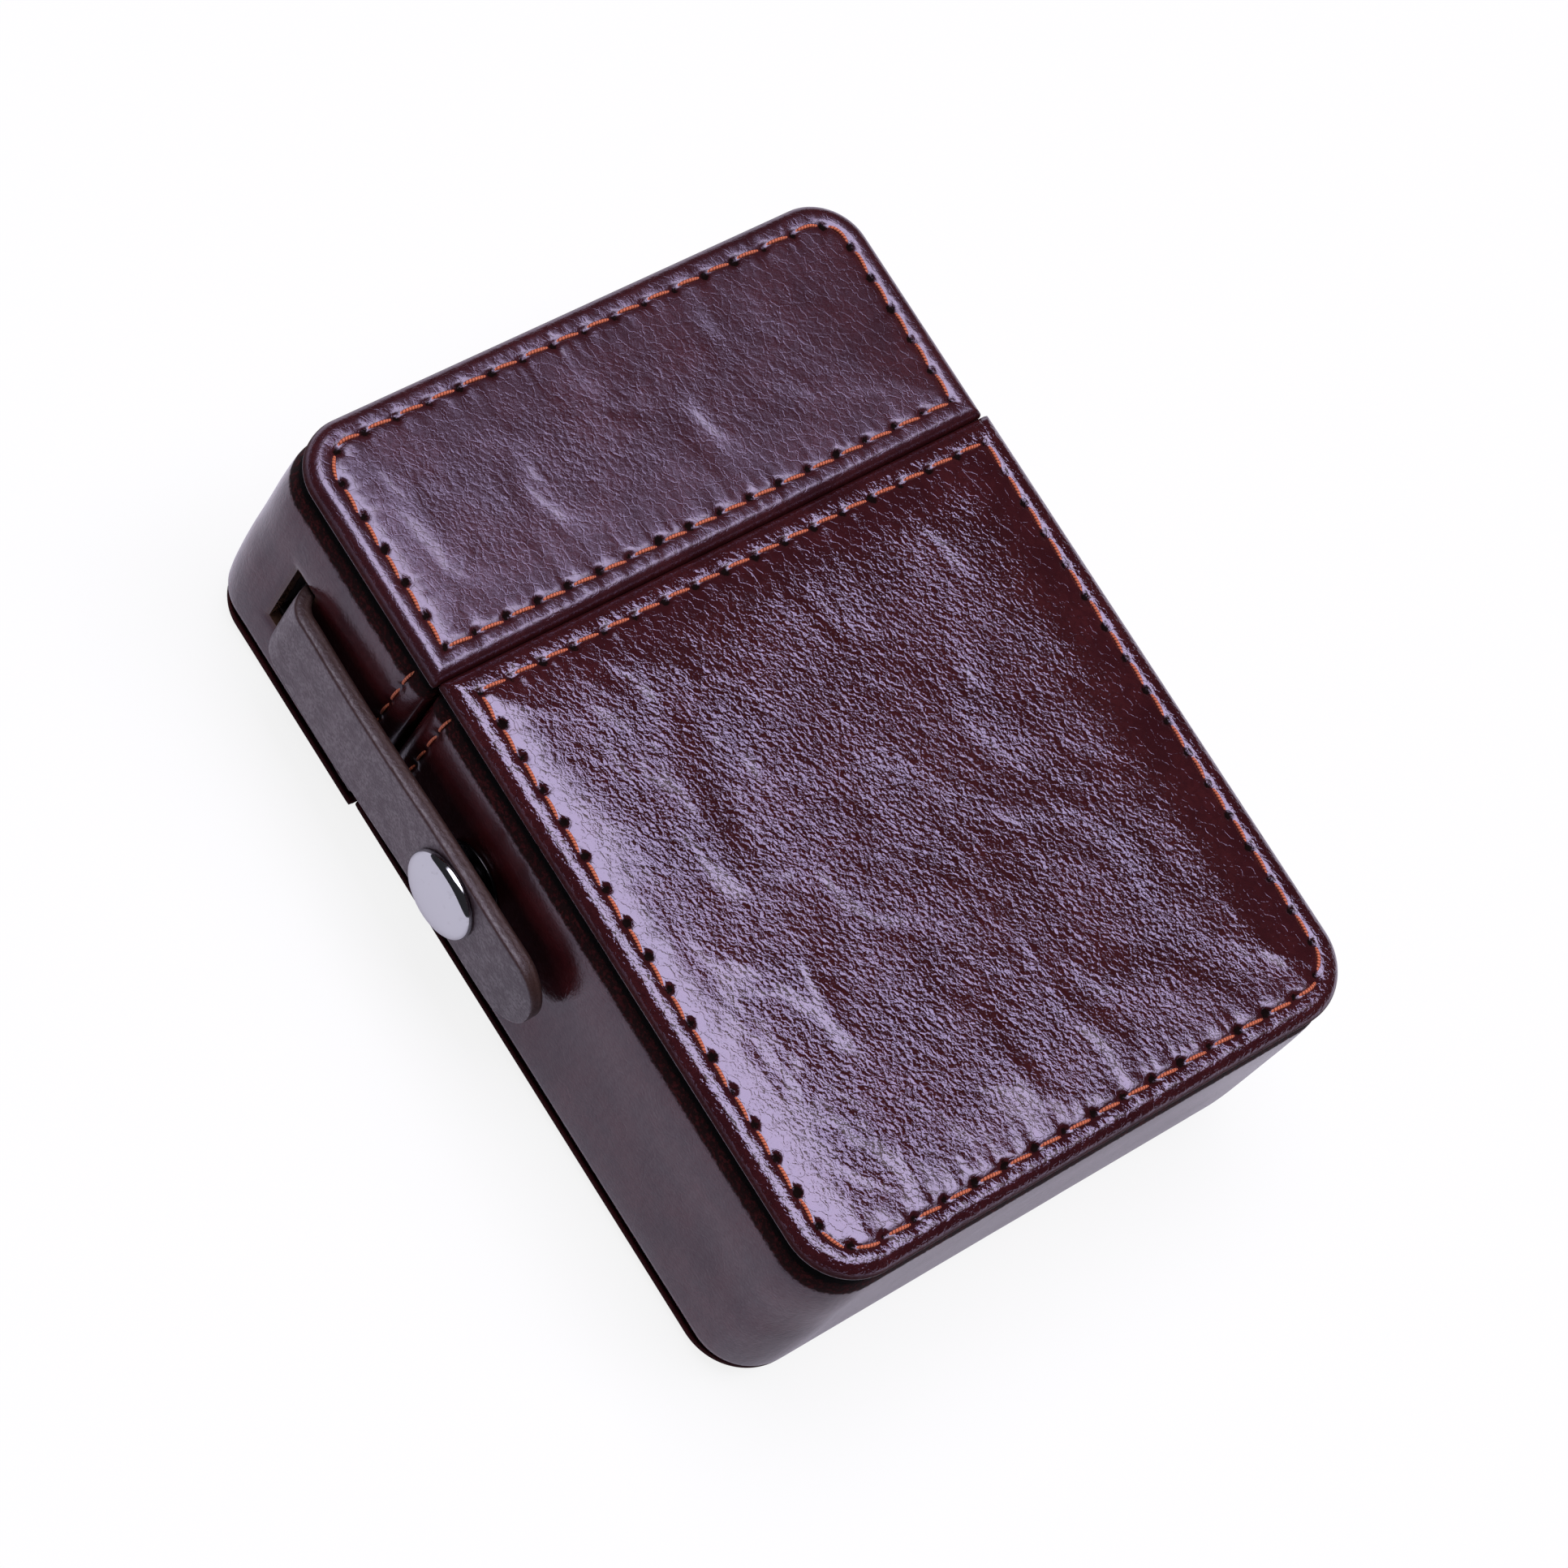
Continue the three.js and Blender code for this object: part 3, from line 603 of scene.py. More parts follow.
stitchShape = dict(radius=0.215, crossRadius=0.16, pressed=0.92, along=9, round=6, slant=0.26, crossSlant=0.065,
                   rise=0.50, bottom=0.55, crossBottom=0.52, level=3.2, gap=0.11, span=0.78,
                   crossGap=0.09, crossSpan=0.82)


def stitchDepth(share, bottom):
    # a stitch rises from its hole, lies level on the groove and dives again
    return bottom - stitchShape["rise"] * (1 - np.abs(2 * share - 1) ** stitchShape["level"])


def threadRuns(centre, sideways, up, length, radius):
    # a round thread carried along each path; arrays are (stitch, along, 3)
    t = stitchShape
    n, m = centre.shape[:2]
    tangent = np.gradient(centre, axis=1)
    tangent /= np.linalg.norm(tangent, axis=2, keepdims=True)
    lift = np.cross(tangent, sideways)
    lift /= np.linalg.norm(lift, axis=2, keepdims=True)
    lift *= np.sign((lift * up).sum(2, keepdims=True) + 1e-9)
    angle = np.arange(t["round"]) / t["round"] * 2 * np.pi
    share = np.linspace(0, 1, m)
    thick = radius * (0.72 + 0.28 * np.sin(np.pi * share))[None, :, None, None]
    ring = np.cos(angle)[:, None] * sideways[:, :, None, :]
    ring = ring + t["pressed"] * np.sin(angle)[:, None] * lift[:, :, None, :]
    points = centre[:, :, None, :] + thick * ring
    index = np.arange(points.size // 3).reshape(n, m, t["round"])
    faces = [gridFaces(index, wrap=True), index[:, 0, ::-1], index[:, -1, :]]
    along = np.broadcast_to((share * length)[None, :, None], index.shape)
    around = np.broadcast_to(np.arange(t["round"]) / t["round"], index.shape)
    return points.reshape(-1, 3), faces, {"alongThread": along, "roundThread": around}


def panelStitches(name, node, outline, body, front):
    # paths follow the seam from hole to hole, a little aslant
    s, t = panelShape, stitchShape
    seam = roundedLoop(outline, s["seamInset"], 1600, 1600)
    number, count = stitchNumber(outline, seam[:, 0], seam[:, 1])
    share = np.linspace(0, 1, t["along"])
    at = np.arange(count)[:, None] + t["gap"] + t["span"] * share[None, :]

    def seamAt(value):
        return np.stack([np.interp(value, *sortedBy(number, seam[:, k]), period=count) for k in (0, 1)], -1)

    tangent = seamAt(at + 0.02) - seamAt(at - 0.02)
    tangent /= np.linalg.norm(tangent, axis=2, keepdims=True)
    inward = np.stack([-tangent[..., 1], tangent[..., 0]], -1)
    aside = t["slant"] * (0.5 - share)
    flat = seamAt(at) + inward * aside[None, :, None]
    sign, face = (1, outline["z1"]) if front else (-1, outline["z0"])
    z = np.broadcast_to(face - sign * stitchDepth(share, t["bottom"]), at.shape)
    centre = np.concatenate([flat, z[..., None]], -1)
    sideways = np.concatenate([inward, np.zeros_like(z)[..., None]], -1)
    points, faces, values = threadRuns(centre, sideways, np.array([0, 0, sign]), s["pitch"], t["radius"])
    makePiece(name, points, faces, "thread", [node], body, values)


def sortedBy(key, value):
    order = np.argsort(key)
    return key[order], value[order]


foamShape = dict(bulge=0.15, crown=0.03, corner=0.1, rings=(1.0, 3.0, 6.5), step=2.0)


def foamPad(name, node, radius, mouthSide, body):
    # a flat cushion: bulged sides and a faintly crowned face with shallow dents
    c = foamShape
    outline = panelOutline(node, radius, c["corner"], mouthSide)
    deep, w = outline["z1"] - outline["z0"], c["bulge"]
    rows = [(w, deep)] + [(w - w * math.sin(a), deep / 2 + deep / 2 * math.cos(a))
                          for a in np.linspace(0, np.pi, 6)[1:]]
    rows += [(inset, 0.0) for inset in c["rings"]]
    flat, insets, depths, faces = ringAndGrid(outline, rows, c["rings"][-1], c["step"])
    dent = c["crown"] * softNoise(flat[:, 0] / 4, flat[:, 1] / 4, 3) * smoothStep(0.2, 2.0, insets)
    z = outline["z1"] - depths - np.where(depths < deep / 2, c["crown"] + dent, 0)
    makePiece(name, np.stack([*flat.T, z], 1), faces, "foam", [node], body)


# name, body, side of the mouth, corner radius at the foot, seed of the folds
panels = (("bodyFront", "case_body", 2, 7, 11), ("lidFront", "lid", 0, 6, 31),
          ("bodyBack", "case_body", 2, 7, 51), ("lidBack", "lid", 0, 6, 71))
for panel, body, mouthSide, radius, seed in panels:
    front = panel.endswith("Front")
    node = panel.replace("Front", "_front").replace("Back", "_back")
    outline = panelOutline(node + "_leather", radius, panelShape["mouthRadius"], mouthSide,
                           0.0 if front else panelShape["backDrawn"], panelShape["close"])
    step = panelShape["step" if front else "backStep"]
    paddedCover(panel + "Cover", node + "_leather", outline, body, front, seed, step)
    panelStitches(panel + "Stitches", node + "_thread", outline, body, front)
    foamPad(panel + "Foam", node + "_foam", radius - 1, mouthSide, body)
print("panels done")


# Side bands: a crowned strip of leather carried round three sides

bandShape = dict(thickness=1.1, crown=0.42, topRoll=3.6, topDrop=1.0, shade=4.0, footRoll=1.3, footDrop=0.7,
                 power=1.7, step=0.5, across=64, hemIn=3.1, hemRound=1.0, hemFade=1.5, gap=0.1, undulate=0.05,
                 seamInset=2.7, pitch=3.8, seamMargin=1.6, groove=0.28, grooveWidth=0.45, hole=0.22,
                 holeRadius=0.4, fold=0.30, foldWidth=0.7)
strapShape = dict(root=14.7, drift=1.3, halfWidth=5.2, thickness=1.8, backLayer=0.7, neckY=37.8, neck=1.6,
                  slotFit=0.3, slotLow=36.8, slotHigh=40.1, slotDent=0.30, dentReach=0.55, rawCut=0.35,
                  tipRadius=4.8, bend=2.8, bow=0.2, edgeRound=0.40, square=0.7, crown=0.06,
                  rootFace=2.9, snapFace=3.9, tipFace=3.8, snapHalf=6, drawnIn=0.25, tipThin=0.35, flap=0.9)
snapShape = dict(y=5.6, z=16.1)


def filletPath(corners, radii):
    # straight runs joined by arcs at the corners: the distance run, and dense points
    corners = np.asarray(corners, float)
    points = [corners[:1]]
    for before, corner, after, radius in zip(corners, corners[1:], corners[2:], radii):
        a = (before - corner) / np.linalg.norm(before - corner)
        b = (after - corner) / np.linalg.norm(after - corner)
        half = np.arccos(np.clip(a @ b, -1, 1)) / 2
        back = radius / np.tan(half)
        centre = corner + (a + b) / np.linalg.norm(a + b) * radius / np.sin(half)
        first, last = corner + a * back - centre, corner + b * back - centre
        sweep = np.pi - 2 * half
        turn = np.linspace(0, 1, 60)[:, None]
        arc = (np.sin((1 - turn) * sweep) * first + np.sin(turn * sweep) * last) / np.sin(sweep)
        points.append(centre + arc)
    points = np.concatenate(points + [corners[-1:]])
    run = np.append(0, np.cumsum(np.linalg.norm(np.diff(points, axis=0), axis=1)))
    return run, points


def alongPath(path, places):
    # point and unit tangent at each distance run
    run, points = path

    def at(place):
        return np.stack([np.interp(place, run, points[:, k]) for k in (0, 1)], -1)

    tangent = at(np.minimum(places + 0.02, run[-1])) - at(np.maximum(places - 0.02, 0))
    return at(places), tangent / np.linalg.norm(tangent, axis=1, keepdims=True)


def thickSheet(outer, inner, keep):
    # two facing grids; cells that are kept become leather, with a wall along every edge where it stops
    rows, cols = outer.shape[:2]
    index = np.arange(rows * cols).reshape(rows, cols)
    shift = rows * cols
    cells = gridFaces(index)[keep.ravel()]
    padded = np.pad(keep, 1)
    faces = [cells, cells[:, ::-1] + shift]

    def wall(mask, first, second):
        a, b = first[mask], second[mask]
        faces.append(np.stack([a, b, b + shift, a + shift], -1))

    before, here = padded[:-1, 1:-1], padded[1:, 1:-1]
    wall(here & ~before, index[:, :-1], index[:, 1:])
    wall(before & ~here, index[:, 1:], index[:, :-1])
    before, here = padded[1:-1, :-1], padded[1:-1, 1:]
    wall(here & ~before, index[1:, :], index[:-1, :])
    wall(before & ~here, index[:-1, :], index[1:, :])
    return np.concatenate([outer.reshape(-1, 3), inner.reshape(-1, 3)]), faces


def bandCrown(z, z0, z1):
    # a gentle crown that rolls in under the front panel and, less, over the back one
    b = bandShape
    q = np.abs(2 * z - z0 - z1) / (z1 - z0)
    top = np.clip(1 - (z1 - z) / b["topRoll"], 0, 1) ** b["power"]
    foot = np.clip(1 - (z - z0) / b["footRoll"], 0, 1) ** b["power"]
    return b["crown"] * (1 - q ** 4) - b["topDrop"] * top - b["footDrop"] * foot


def seamRow(z0, z1):
    # the two ends of a straight seam across the band and its count of stitches
    low, high = z0 + bandShape["seamMargin"], z1 - bandShape["seamMargin"]
    return low, high, round((high - low) / bandShape["pitch"])


def rowOfHoles(fromSeam, z, z0, z1):
    # groove and needle holes of a straight seam across the band
    b = bandShape
    low, high, count = seamRow(z0, z1)
    number = (z - low) / (high - low) * count
    inRow = smoothStep(low - 0.6, low, z) * (1 - smoothStep(high, high + 0.6, z))
    fromHole = (number - np.clip(np.round(number), 0, count)) * b["pitch"]
    hole = np.exp(-(fromSeam ** 2 + fromHole ** 2) / b["holeRadius"] ** 2)
    return b["groove"] * np.exp(-(fromSeam / b["grooveWidth"]) ** 2) * inRow + b["hole"] * hole, hole


def bandGrid(path, places, z, outward):
    # tables over distance run and height: both of these, the place in plan, and columns of the normal
    point, tangent = alongPath(path, places)
    run, height = np.meshgrid(places, z, indexing="ij")
    return (run, height, point[:, :1] + 0 * height, point[:, 1:] + 0 * height,
            outward * tangent[:, 1:], -outward * tangent[:, :1])


def bandPiece(name, node, body, grid, push, hole, keep=None, values=None):
    # leather from the pushed-out face to one thickness behind the path; turnedEdge is 1 under the front panel
    # and 0 where the roll toward it starts
    height, px, py, nx, ny = grid[1:]
    deep = bandShape["thickness"]
    outer = np.stack([px + nx * push, py + ny * push, height], -1)
    inner = np.stack([px - nx * deep, py - ny * deep, height], -1)
    if keep is None:
        keep = np.ones((height.shape[0] - 1, height.shape[1] - 1), bool)
    points, faces = thickSheet(outer, inner, keep)
    rolled = np.clip(1 - (height.max() - height) / bandShape["shade"], 0, 1)
    both = {key: np.tile(value.ravel(), 2) for key, value in dict(values or {}, turnedEdge=rolled).items()}
    both["needleHole"] = np.concatenate([hole.ravel(), 0 * hole.ravel()])
    return makePiece(name, points, faces, "band", [node], body, both, sharp=55)


def sideBand(name, node, body, corners, radii, outward, slot=None, seed=5):
    # pushed out along the normal by crown, dents and seam; it starts as a flat hem turned in at the mouth
    b, t = bandShape, strapShape
    z0, z1 = cadEdges(node)[4:]
    path = run, dense = filletPath(corners, radii)
    places = np.linspace(0, run[-1], round(run[-1] / b["step"]))
    z = np.linspace(z0, z1, b["across"])
    if slot:
        onSide = np.abs(dense[:, 0] - dense[:, 0].min()) < 1e-3
        cuts = np.interp(slot[:2], *sortedBy(dense[onSide, 1], run[onSide]))
        places = np.unique(np.concatenate([places, cuts, cuts - 0.25, cuts + 0.25]))
        z = np.unique(np.concatenate([z, slot[2:]]))
    grid = run, height, px, py, nx, ny = bandGrid(path, places, z, outward)
    hem = smoothStep(b["hemIn"], b["hemIn"] + b["hemFade"], run)
    push = bandCrown(height, z0, z1)
    push = push * hem + np.minimum(push, 0) * (1 - hem)
    middle = 1 - (np.abs(2 * height - z0 - z1) / (z1 - z0)) ** 4
    push += b["undulate"] * softNoise(run / 9, height / 6, seed) * hem * middle
    seamY = corners[0][1] - outward * b["seamInset"]
    strapSide = (px < 0) & (np.abs(nx) > 0.9)
    cut, hole = rowOfHoles(np.where(strapSide, py - seamY, 99.0), height, z0, z1)
    push -= cut
    keep, rawCut = None, 0 * push
    if slot:
        toSlot = np.max([slot[0] - py, py - slot[1], slot[2] - height, height - slot[3]], axis=0)
        outside = np.maximum(toSlot, 0)
        push -= t["slotDent"] * np.exp(-outside / t["dentReach"]) * strapSide
        rawCut = np.exp(-(outside / t["rawCut"]) ** 2) * strapSide
        inSlot = (toSlot < 1e-6) & strapSide
        keep = ~(inSlot[:-1, :-1] & inSlot[1:, :-1] & inSlot[1:, 1:] & inSlot[:-1, 1:])
    # painted shade on the side facing the foot: 1 where the band faces the foot
    paintedFootShade = smoothStep(0.35, 0.95, -ny) + 0 * height
    bandPiece(name, node, body, grid, push, hole, keep, {"cutEdge": rawCut, "paintedFootShade": paintedFootShade})


def crossStitches(name, node, body, surface, side, y):
    # a straight row of stitches up the band
    t = stitchShape
    low, high, count = seamRow(z0, z1)
    share = np.linspace(0, 1, t["along"])
    number = np.arange(count)[:, None] + t["crossGap"] + t["crossSpan"] * share[None, :]
    at = number / count * (high - low) + low
    x = surface - side * stitchDepth(share, t["crossBottom"]) + side * bandCrown(at, z0, z1)
    centre = np.stack([x, y + t["crossSlant"] * (0.5 - share) + 0 * at, at], -1)
    sideways = np.zeros_like(centre)
    sideways[..., 1] = 1
    up = np.array([side, 0, 0])
    points, faces, values = threadRuns(centre, sideways, up, bandShape["pitch"], t["crossRadius"])
    makePiece(name, points, faces, "thread", [node], body, values)


x0, x1, bodyFoot, bodyMouth, z0, z1 = cadEdges("body_side_band")
lx0, lx1, lidMouth, lidFoot = cadEdges("lid_side_band")[:4]
hingeY0, hingeY1 = cadEdges("hinge_leather")[2:4]
slotLow, slotHigh, slotZ = [strapShape[key] for key in ("slotLow", "slotHigh", "root")]
slotHalf = strapShape["halfWidth"] + strapShape["slotFit"]
slot = (slotLow, slotHigh, slotZ - slotHalf, slotZ + slotHalf)
hemIn, hemRound, bandGap = [bandShape[key] for key in ("hemIn", "hemRound", "gap")]
sideBand("bodySideBand", "body_side_band", "case_body",
         [(x0 + hemIn, bodyMouth), (x0, bodyMouth), (x0, bodyFoot), (x1, bodyFoot), (x1, hingeY0 - bandGap)],
         [hemRound, 6.2, 6.2], 1, seed=5)
sideBand("lidSideBand", "lid_side_band", "lid",
         [(lx0 + hemIn, lidMouth), (lx0, lidMouth), (lx0, lidFoot), (lx1, lidFoot), (lx1, hingeY1 + bandGap)],
         [hemRound, 5.2, 5.2], -1, slot, seed=6)


def hingeStrip(name, node):
    # the band's hinge stretch: straight, a small step at the parting, straight, with a pressed fold line
    b = bandShape
    path = filletPath([(x1, hingeY0), (x1, bodyMouth), (lx1, lidMouth), (lx1, hingeY1)], [0.5, 0.5])
    zLow, zHigh = cadEdges(node)[4:]
    grid = bandGrid(path, np.linspace(0, path[0][-1], 64), np.linspace(zLow, zHigh, b["across"]), 1)
    height, py = grid[1], grid[3]
    parting = (bodyMouth + lidMouth) / 2
    push = bandCrown(height, zLow, zHigh) - b["fold"] * np.exp(-((py - parting) / b["foldWidth"]) ** 2)
    hole = 0 * push
    for y in (bodyMouth - b["seamInset"], lidMouth + b["seamInset"]):
        cut, holes = rowOfHoles(py - y, height, zLow, zHigh)
        push -= cut
        hole += holes
    strip = bandPiece(name, node, None, grid, push, hole)
    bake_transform(strip)


hingeStrip("hingeLeather", "hinge_leather")
bodySeam, lidSeam = bodyMouth - bandShape["seamInset"], lidMouth + bandShape["seamInset"]
crossStitches("bodyBandStitches", "body_band_thread", "case_body", x0, -1, bodySeam)
crossStitches("lidBandStitches", "lid_band_thread", "lid", lx0, -1, lidSeam)
crossStitches("hingeBodyStitches", "hinge_body_thread", "case_body", x1, 1, bodySeam)
crossStitches("hingeLidStitches", "hinge_lid_thread", "lid", lx1, 1, lidSeam)
print("side bands done")


# Fabric linings: a cup inside each half

liningShape = dict(wall=0.6, footRadius=3.0, lip=2.0, square=0.14, soft=0.04, around=260)


def liningCup(name, node, body, footSign):
    # rounded-rectangle loops carried from the foot up the outside, over the lip and down the inside;
    # each row is a height over the foot, an inset, and how far the lip reaches out at the hinge
    c = liningShape
    cx0, cx1, cy0, cy1, cz0, cz1 = cadEdges(node)
    cx1 -= c["lip"]
    midX, midZ, wide, thick = (cx0 + cx1) / 2, (cz0 + cz1) / 2, cx1 - cx0, cz1 - cz0
    foot, mouth = (cy1, cy0) if footSign > 0 else (cy0, cy1)
    toward = np.sign(mouth - foot)
    deep = abs(mouth - foot)
    w = c["wall"]
    up = np.concatenate([c["footRadius"] * (1 - np.cos(np.linspace(0, np.pi / 2, 7))),
                         np.linspace(c["footRadius"], deep - 0.66, 40)[1:]])
    lip = ((0.60, 0.0), (0.55, c["lip"]), (0.3, c["lip"]), (0.08, c["lip"] - 0.25))
    outerRows = [(y, 0.0, 0.0) for y in up] + [(deep - below, 0.0, out) for below, out in lip]
    rows = outerRows + [(deep - w / 2 + w / 2 * math.sin(a), w / 2 - w / 2 * math.cos(a), 0.0)
                        for a in np.linspace(0, np.pi, 6)[2:]]
    rows += [(y, w, 0.0) for y in up[::-1][1:] if y > w] + [(w + 0.01, w, 0.0)]
    angle = np.linspace(0, 2 * np.pi, c["around"], endpoint=False)
    unitX, unitZ = [np.sign(v) * np.abs(v) ** c["square"] for v in (np.cos(angle), np.sin(angle))]
    loops = []
    for y, inset, out in rows:
        radius = c["footRadius"] - inset
        near = max(0.0, min(radius, y - inset))
        draw = radius - math.sqrt(max(radius ** 2 - (radius - near) ** 2, 0.0)) if near < radius else 0.0
        halfX, halfZ = wide / 2 - inset - draw, thick / 2 - inset
        x = midX + halfX * unitX
        x = x + out * smoothStep(0.995, 1.0, (x - midX) / halfX)
        loops.append(np.stack([x, np.full_like(x, foot + toward * y), midZ + halfZ * unitZ], -1))
    loops = np.stack(loops)
    soft = c["soft"] * softNoise(loops[..., 0] / 5 + loops[..., 2] / 3, loops[..., 1] / 6, 9)
    inside = (np.arange(len(rows)) > len(outerRows))[:, None]
    loops[..., 2] -= soft * np.sign(loops[..., 2] - midZ) * inside
    cup = makePiece(name, loops, tubeFaces(loops.shape), "lining", [node], body, sharp=60)
    area = 2 * (wide + thick) * deep + wide * thick
    (2 * deep + thick) * mm
    area * mm * mm


liningCup("bodyLiningCup", "body_lining", "case_body", -1)
liningCup("lidLiningCup", "lid_lining", "lid", 1)
print("linings done")


# Strap: one ribbon of two glued layers with a rounded painted edge

def ribbon(name, places, path, halfWidth, thickness, centreZ, replaces, body=None):
    # a rounded section carried along the path; the joint of the layers is a fine line in its edge
    s = strapShape
    point, tangent = alongPath(path, places)
    nx, ny = tangent[:, 1:], -tangent[:, :1]
    turn = np.linspace(-np.pi / 2, np.pi / 2, 15)
    edgeA, edgeB = [np.sign(v) * np.abs(v) ** s["square"] for v in (np.cos(turn), np.sin(turn))]
    across = np.linspace(1, -1, 25)[1:-1]
    # one closed section: edge at +Z from inner to outer face, outer face, edge at -Z, inner face
    a = np.concatenate([1 + 0 * edgeA, across, -1 + 0 * edgeA, across[::-1]])
    bulge = np.concatenate([edgeA, 0 * across, -edgeA, 0 * across])
    b = np.concatenate([edgeB, 1 + 0 * across, edgeB[::-1], -1 + 0 * across])
    joint = 2 * s["backLayer"] / s["thickness"] - 1
    edge = np.abs(bulge)
    line = np.exp(-((b - joint) / 0.13) ** 2) * (edge > 0.3)
    radius = np.minimum(s["edgeRound"], halfWidth * 0.6)[:, None]
    wide = a * (halfWidth[:, None] - radius) + bulge * radius - np.sign(bulge) * line * 0.09
    crown = s["crown"] * (1 - (wide / np.maximum(halfWidth, 0.1)[:, None]) ** 2)
    up = b * thickness[:, None] / 2 + np.where(b > 0.5, crown, 0)
    points = np.stack([point[:, :1] + nx * up, point[:, 1:] + ny * up, centreZ[:, None] + wide], -1)
    values = {"paintedEdge": np.broadcast_to(smoothStep(0.25, 0.7, edge), wide.shape),
              "jointLine": np.broadcast_to(line, wide.shape)}
    return makePiece(name, points, tubeFaces(points.shape), "strap", replaces, body, values)


def strapPieces():
    # out of the slot, round a bend, bowed to the snap, level under it and on to the tip
    s = strapShape
    t, tipR, neckY = s["thickness"], s["tipRadius"], s["neckY"]
    axisX = lx0 - s["rootFace"] + t / 2
    snapX, tipX = x0 - s["snapFace"] + t / 2, x0 - s["tipFace"] + t / 2
    bendY = neckY - s["bend"]
    aboveSnap, belowSnap = snapShape["y"] + s["snapHalf"], snapShape["y"] - s["snapHalf"]
    y = np.linspace(bendY - 1.5, aboveSnap, 20)
    share = (bendY - y) / (bendY - aboveSnap)
    bowed = axisX + (snapX - axisX) * share - s["bow"] * np.sin(np.pi * share)
    tipY = cadEdges("strap_face")[2]
    tip = np.linspace(belowSnap, tipY, 12)[1:]
    tipRun = snapX + (tipX - snapX) * smoothStep(0, 1, (belowSnap - tip) / (belowSnap - tipY))
    corners = [(lx0 + 0.9, neckY), (axisX, neckY), *zip(bowed, y), (snapX, belowSnap), *zip(tipRun, tip)]
    path = filletPath(corners, [s["bend"]] + [3.0] * (len(corners) - 3))
    total = path[0][-1]
    tipStart = total - tipR - 0.6
    places = np.concatenate([np.arange(0, 4, 0.14), np.linspace(4, tipStart, 90)[:-1],
                             tipStart + 0.6 * np.linspace(0, 1, 3)[:-1],
                             total - tipR * (1 - np.sin(np.linspace(0, np.pi / 2, 26)))])
    left = np.clip(total - places, 0, tipR)
    halfWidth = s["halfWidth"] - tipR + np.sqrt(tipR ** 2 - (tipR - left) ** 2)
    halfWidth = halfWidth - s["drawnIn"] * (1 - smoothStep(0, 6, places))
    thickness = s["neck"] + (t - s["neck"]) * smoothStep(0.8, 3.2, places)
    thickness = thickness - s["tipThin"] * smoothStep(total - 5, total, places)
    centreZ = s["root"] + s["drift"] * smoothStep(0, total - 12, places)
    strap = ribbon("closingStrap", places, path, halfWidth, thickness, centreZ,
                   ["strap_face", "strap_backing"])
    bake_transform(strap)
    tailEnd, tailLow = cadEdges("strap_tail")[1:3]
    flap = s["flap"]
    tailX = tailEnd - flap / 2
    tail = filletPath([(tailX, tailLow), (tailX, neckY), (lx0 + 1.0, neckY)], [0.46])
    total = tail[0][-1]
    steps = np.linspace(0, total, 60)
    thick = flap + (s["neck"] - flap) * smoothStep(total - 1.6, total - 0.6, steps)
    ribbon("strapTail", steps, tail, 0 * steps + s["halfWidth"] - s["drawnIn"], thick, 0 * steps + centreZ[0],
           ["strap_tail"], "lid")


strapPieces()
print("strap done")


# Press stud: turned pieces on an axis along X

def turned(name, node, body, profile, finish, slot, steps=96):
    # the profile (radius, height out from the case's side) swept round the axis
    profile = np.asarray(profile, float)
    angle = np.arange(steps) / steps * 2 * np.pi
    radius = np.maximum(profile[:, :1], 0.004)
    points = np.stack([np.broadcast_to(x0 - profile[:, 1:], (len(profile), steps)),
                       snapShape["y"] + radius * np.cos(angle), snapShape["z"] + radius * np.sin(angle)], -1)
    faces = tubeFaces(points.shape, np.allclose(profile[0], profile[-1]))
    makePiece(name, points, faces, finish, [node], body, sharp=40)


def rounded(points, radii, steps):
    # a profile with each inner corner replaced by an arc
    path = filletPath(points, radii)[1]
    keep = np.unique(np.round(np.linspace(0, len(path) - 1, 8 * steps)).astype(int))
    return path[keep].tolist()


def pressStud():
    # a domed cap with its post, a stud with a wide flange, and a ring that grips it
    base, wide, high = 4.0, 4.85, 1.25
    turn = np.linspace(0, np.pi / 2, 40)
    dome = np.stack([wide * np.cos(turn) ** 0.36, base + 0.2 + high * np.sin(turn) ** 0.85], 1)
    under = [(0.0, 3.2), (1.0, 3.2), (1.0, base), (wide - 0.25, base), (wide - 0.07, base + 0.06)]
    turned("snapCap", "snap_cap", "strap", under + dome.tolist(), "chrome", "cap_chrome")
    stud = rounded([(1.3, 0.5), (4.2, 0.5), (4.2, 0.8), (1.65, 0.8), (1.65, 0.95), (2.0, 1.15), (2.0, 2.5),
                    (1.6, 2.9), (0.02, 2.9)], [0.09, 0.09, 0.06, 0.08, 0.15, 0.25, 0.2], 14)
    hollow = [(0.0, 2.4), (1.2, 2.4), (1.2, 0.5)]
    turned("snapStud", "snap_stud", "case_body", hollow + stud, "steel", "snap_steel")
    ring = rounded([(2.2, 1.57), (3.8, 1.55), (3.8, 1.8), (2.7, 1.8), (2.7, 3.6), (1.2, 3.6), (1.2, 3.1),
                    (2.2, 3.1), (2.2, 1.57)], [0.11, 0.11, 0.1, 0.2, 0.1, 0.1, 0.15], 16)
    turned("snapSocket", "snap_socket", "strap", ring, "steel", "snap_steel")


pressStud()

inner = dict(board=("body_front_board", "body_back_board", "lid_front_board", "lid_back_board"),
             dyedBoard=("body_wall", "lid_wall"), steel=("snap_rivet",))
for finish, nodes in inner.items():
    for node in nodes:
        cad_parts[node].data.materials.clear()
        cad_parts[node].data.materials.append(finishes[finish])
print("press stud and inner pieces done")


# Floor, light and camera

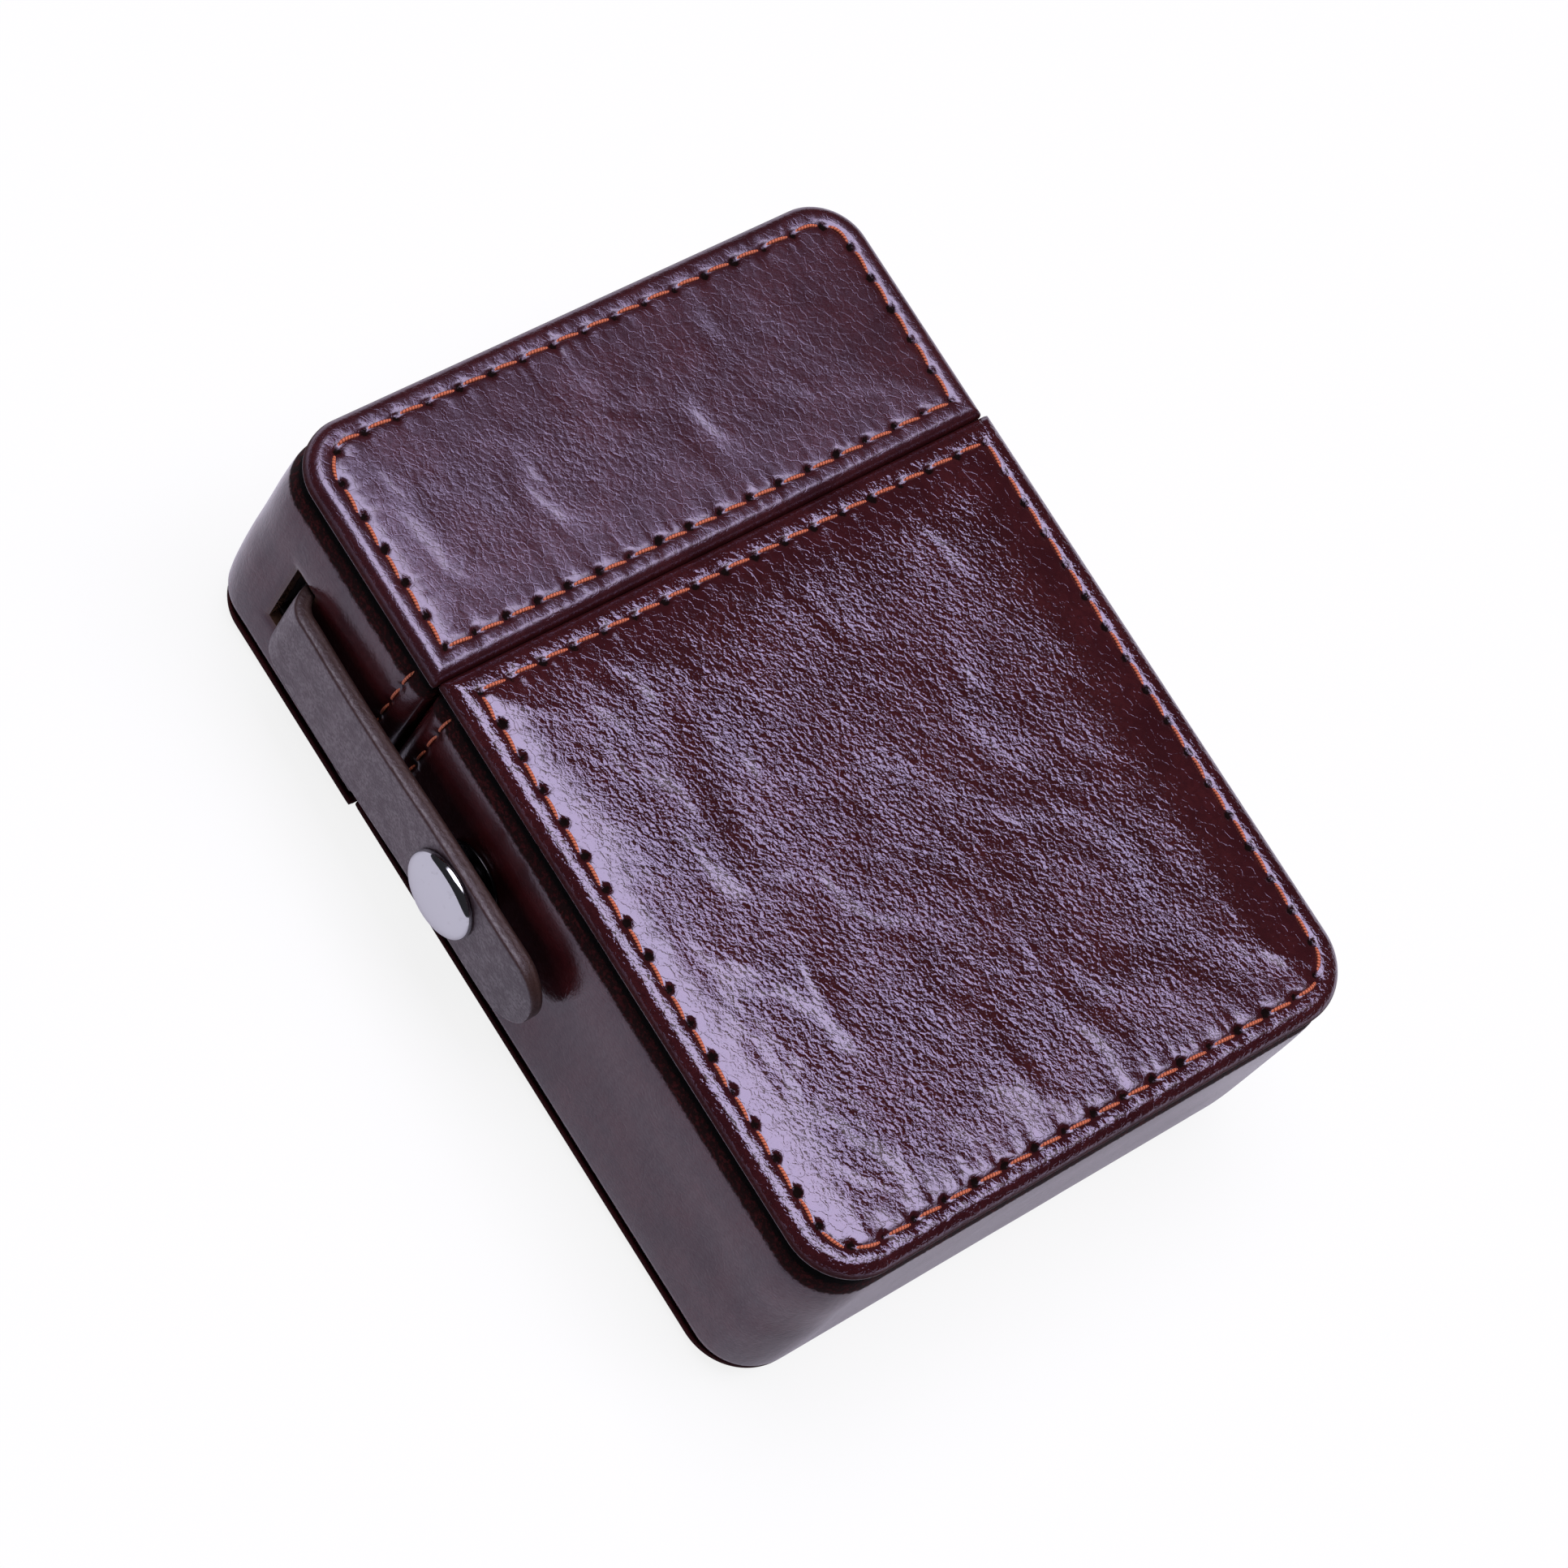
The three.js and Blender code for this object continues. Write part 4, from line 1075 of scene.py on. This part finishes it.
stage = dict(size=4.0, floor=0.94, keepShadow=0.14, mirrored=0.4, glow=(0.86, 0.79, 1.0))
studio = dict(ambient=0.04, key=6.9, tint=(0.91, 0.87, 1.0),
              keyAt=(0.03, 0.06), keyHalf=(0.335, 0.50), keySoft=(0.055, 0.26), keyLean=0.85, keyBend=0.06)
camera = dict(place=(-264.01, -84.82, 485.7), lens=124.67, sensor=36.0,
              right=(0.77486, -0.53269, 0.34033), up=(0.40602, 0.83206, 0.37793),
              back=(-0.4845, -0.15466, 0.86101))


def addFloor():
    # white to the camera, a faint glow in reflections, and a diffuse share that carries the shadow
    half = stage["size"] / 2
    mesh = bpy.data.meshes.new("floor")
    square = [(-half, -half, 0), (half, -half, 0), (half, half, 0), (-half, half, 0)]
    mesh.from_pydata(square, [], [(0, 1, 2, 3)])
    f = newFinish("paleFloor")
    path = f.add("LightPath", out="Is Camera Ray")
    glossy, through = path.also("Is Glossy Ray", "Is Transmission Ray")
    seen = f.math("MAXIMUM", path, through) * (1 - stage["keepShadow"])
    seen = f.math("MAXIMUM", seen, glossy * stage["mirrored"])
    plain = f.add("BsdfDiffuse", {"Color": (stage["floor"],) * 3 + (1,)})
    white = f.add("Emission", {"Color": f.mix(glossy, (1, 1, 1), stage["glow"]), "Strength": 1.0})
    f.add("OutputMaterial", {"Surface": f.add("MixShader", {0: seen, 1: plain, 2: white})})
    mesh.materials.append(f.owner)
    floor = placed("floor", mesh)
    floor.location = (0, 0, -0.0002)


def addStudio():
    # a dim dome with one soft box overhead: its radiance is a soft-edged box of direction
    # that widens toward the foot
    f = Finish(bpy.data.worlds.new("studio"))
    bpy.context.scene.world = f.owner
    dx, dy, dz = f.add("SeparateXYZ", {0: f.add("TexCoord", out="Generated")}).also(0, 1, 2)
    high = f.math("MAXIMUM", dz, 0.02)
    v = dy / high
    u = dx / high + studio["keyLean"] * f.math("MINIMUM", v - studio["keyBend"], 0.0)
    masks = []
    for value, at, half, soft in zip((u, v), studio["keyAt"], studio["keyHalf"], studio["keySoft"]):
        masks.append(f.span(f.math("ABSOLUTE", value - at), half - soft, half + soft, 1.0, 0.0))
    strength = masks[0] * masks[1] * studio["key"] + studio["ambient"]
    path = f.add("LightPath", out="Is Camera Ray")
    strength = strength * (1 - path) + path
    colour = f.mix(path, studio["tint"], (1.0, 1.0, 1.0))
    f.add("OutputWorld", {"Surface": f.add("Background", {"Color": colour, "Strength": strength})})


def addCamera():
    data = bpy.data.cameras.new("camera")
    data.lens, data.sensor_width = camera["lens"], camera["sensor"]
    data.clip_start, data.clip_end = 0.01, 20
    obj = placed("camera", data)
    turn = Matrix([camera["right"], camera["up"], camera["back"]]).transposed().to_4x4()
    obj.matrix_world = Matrix.Translation([value * mm for value in camera["place"]]) @ turn
    bpy.context.scene.camera = obj


addFloor()
addStudio()
addCamera()
bpy.context.scene.view_settings.view_transform = "Standard"
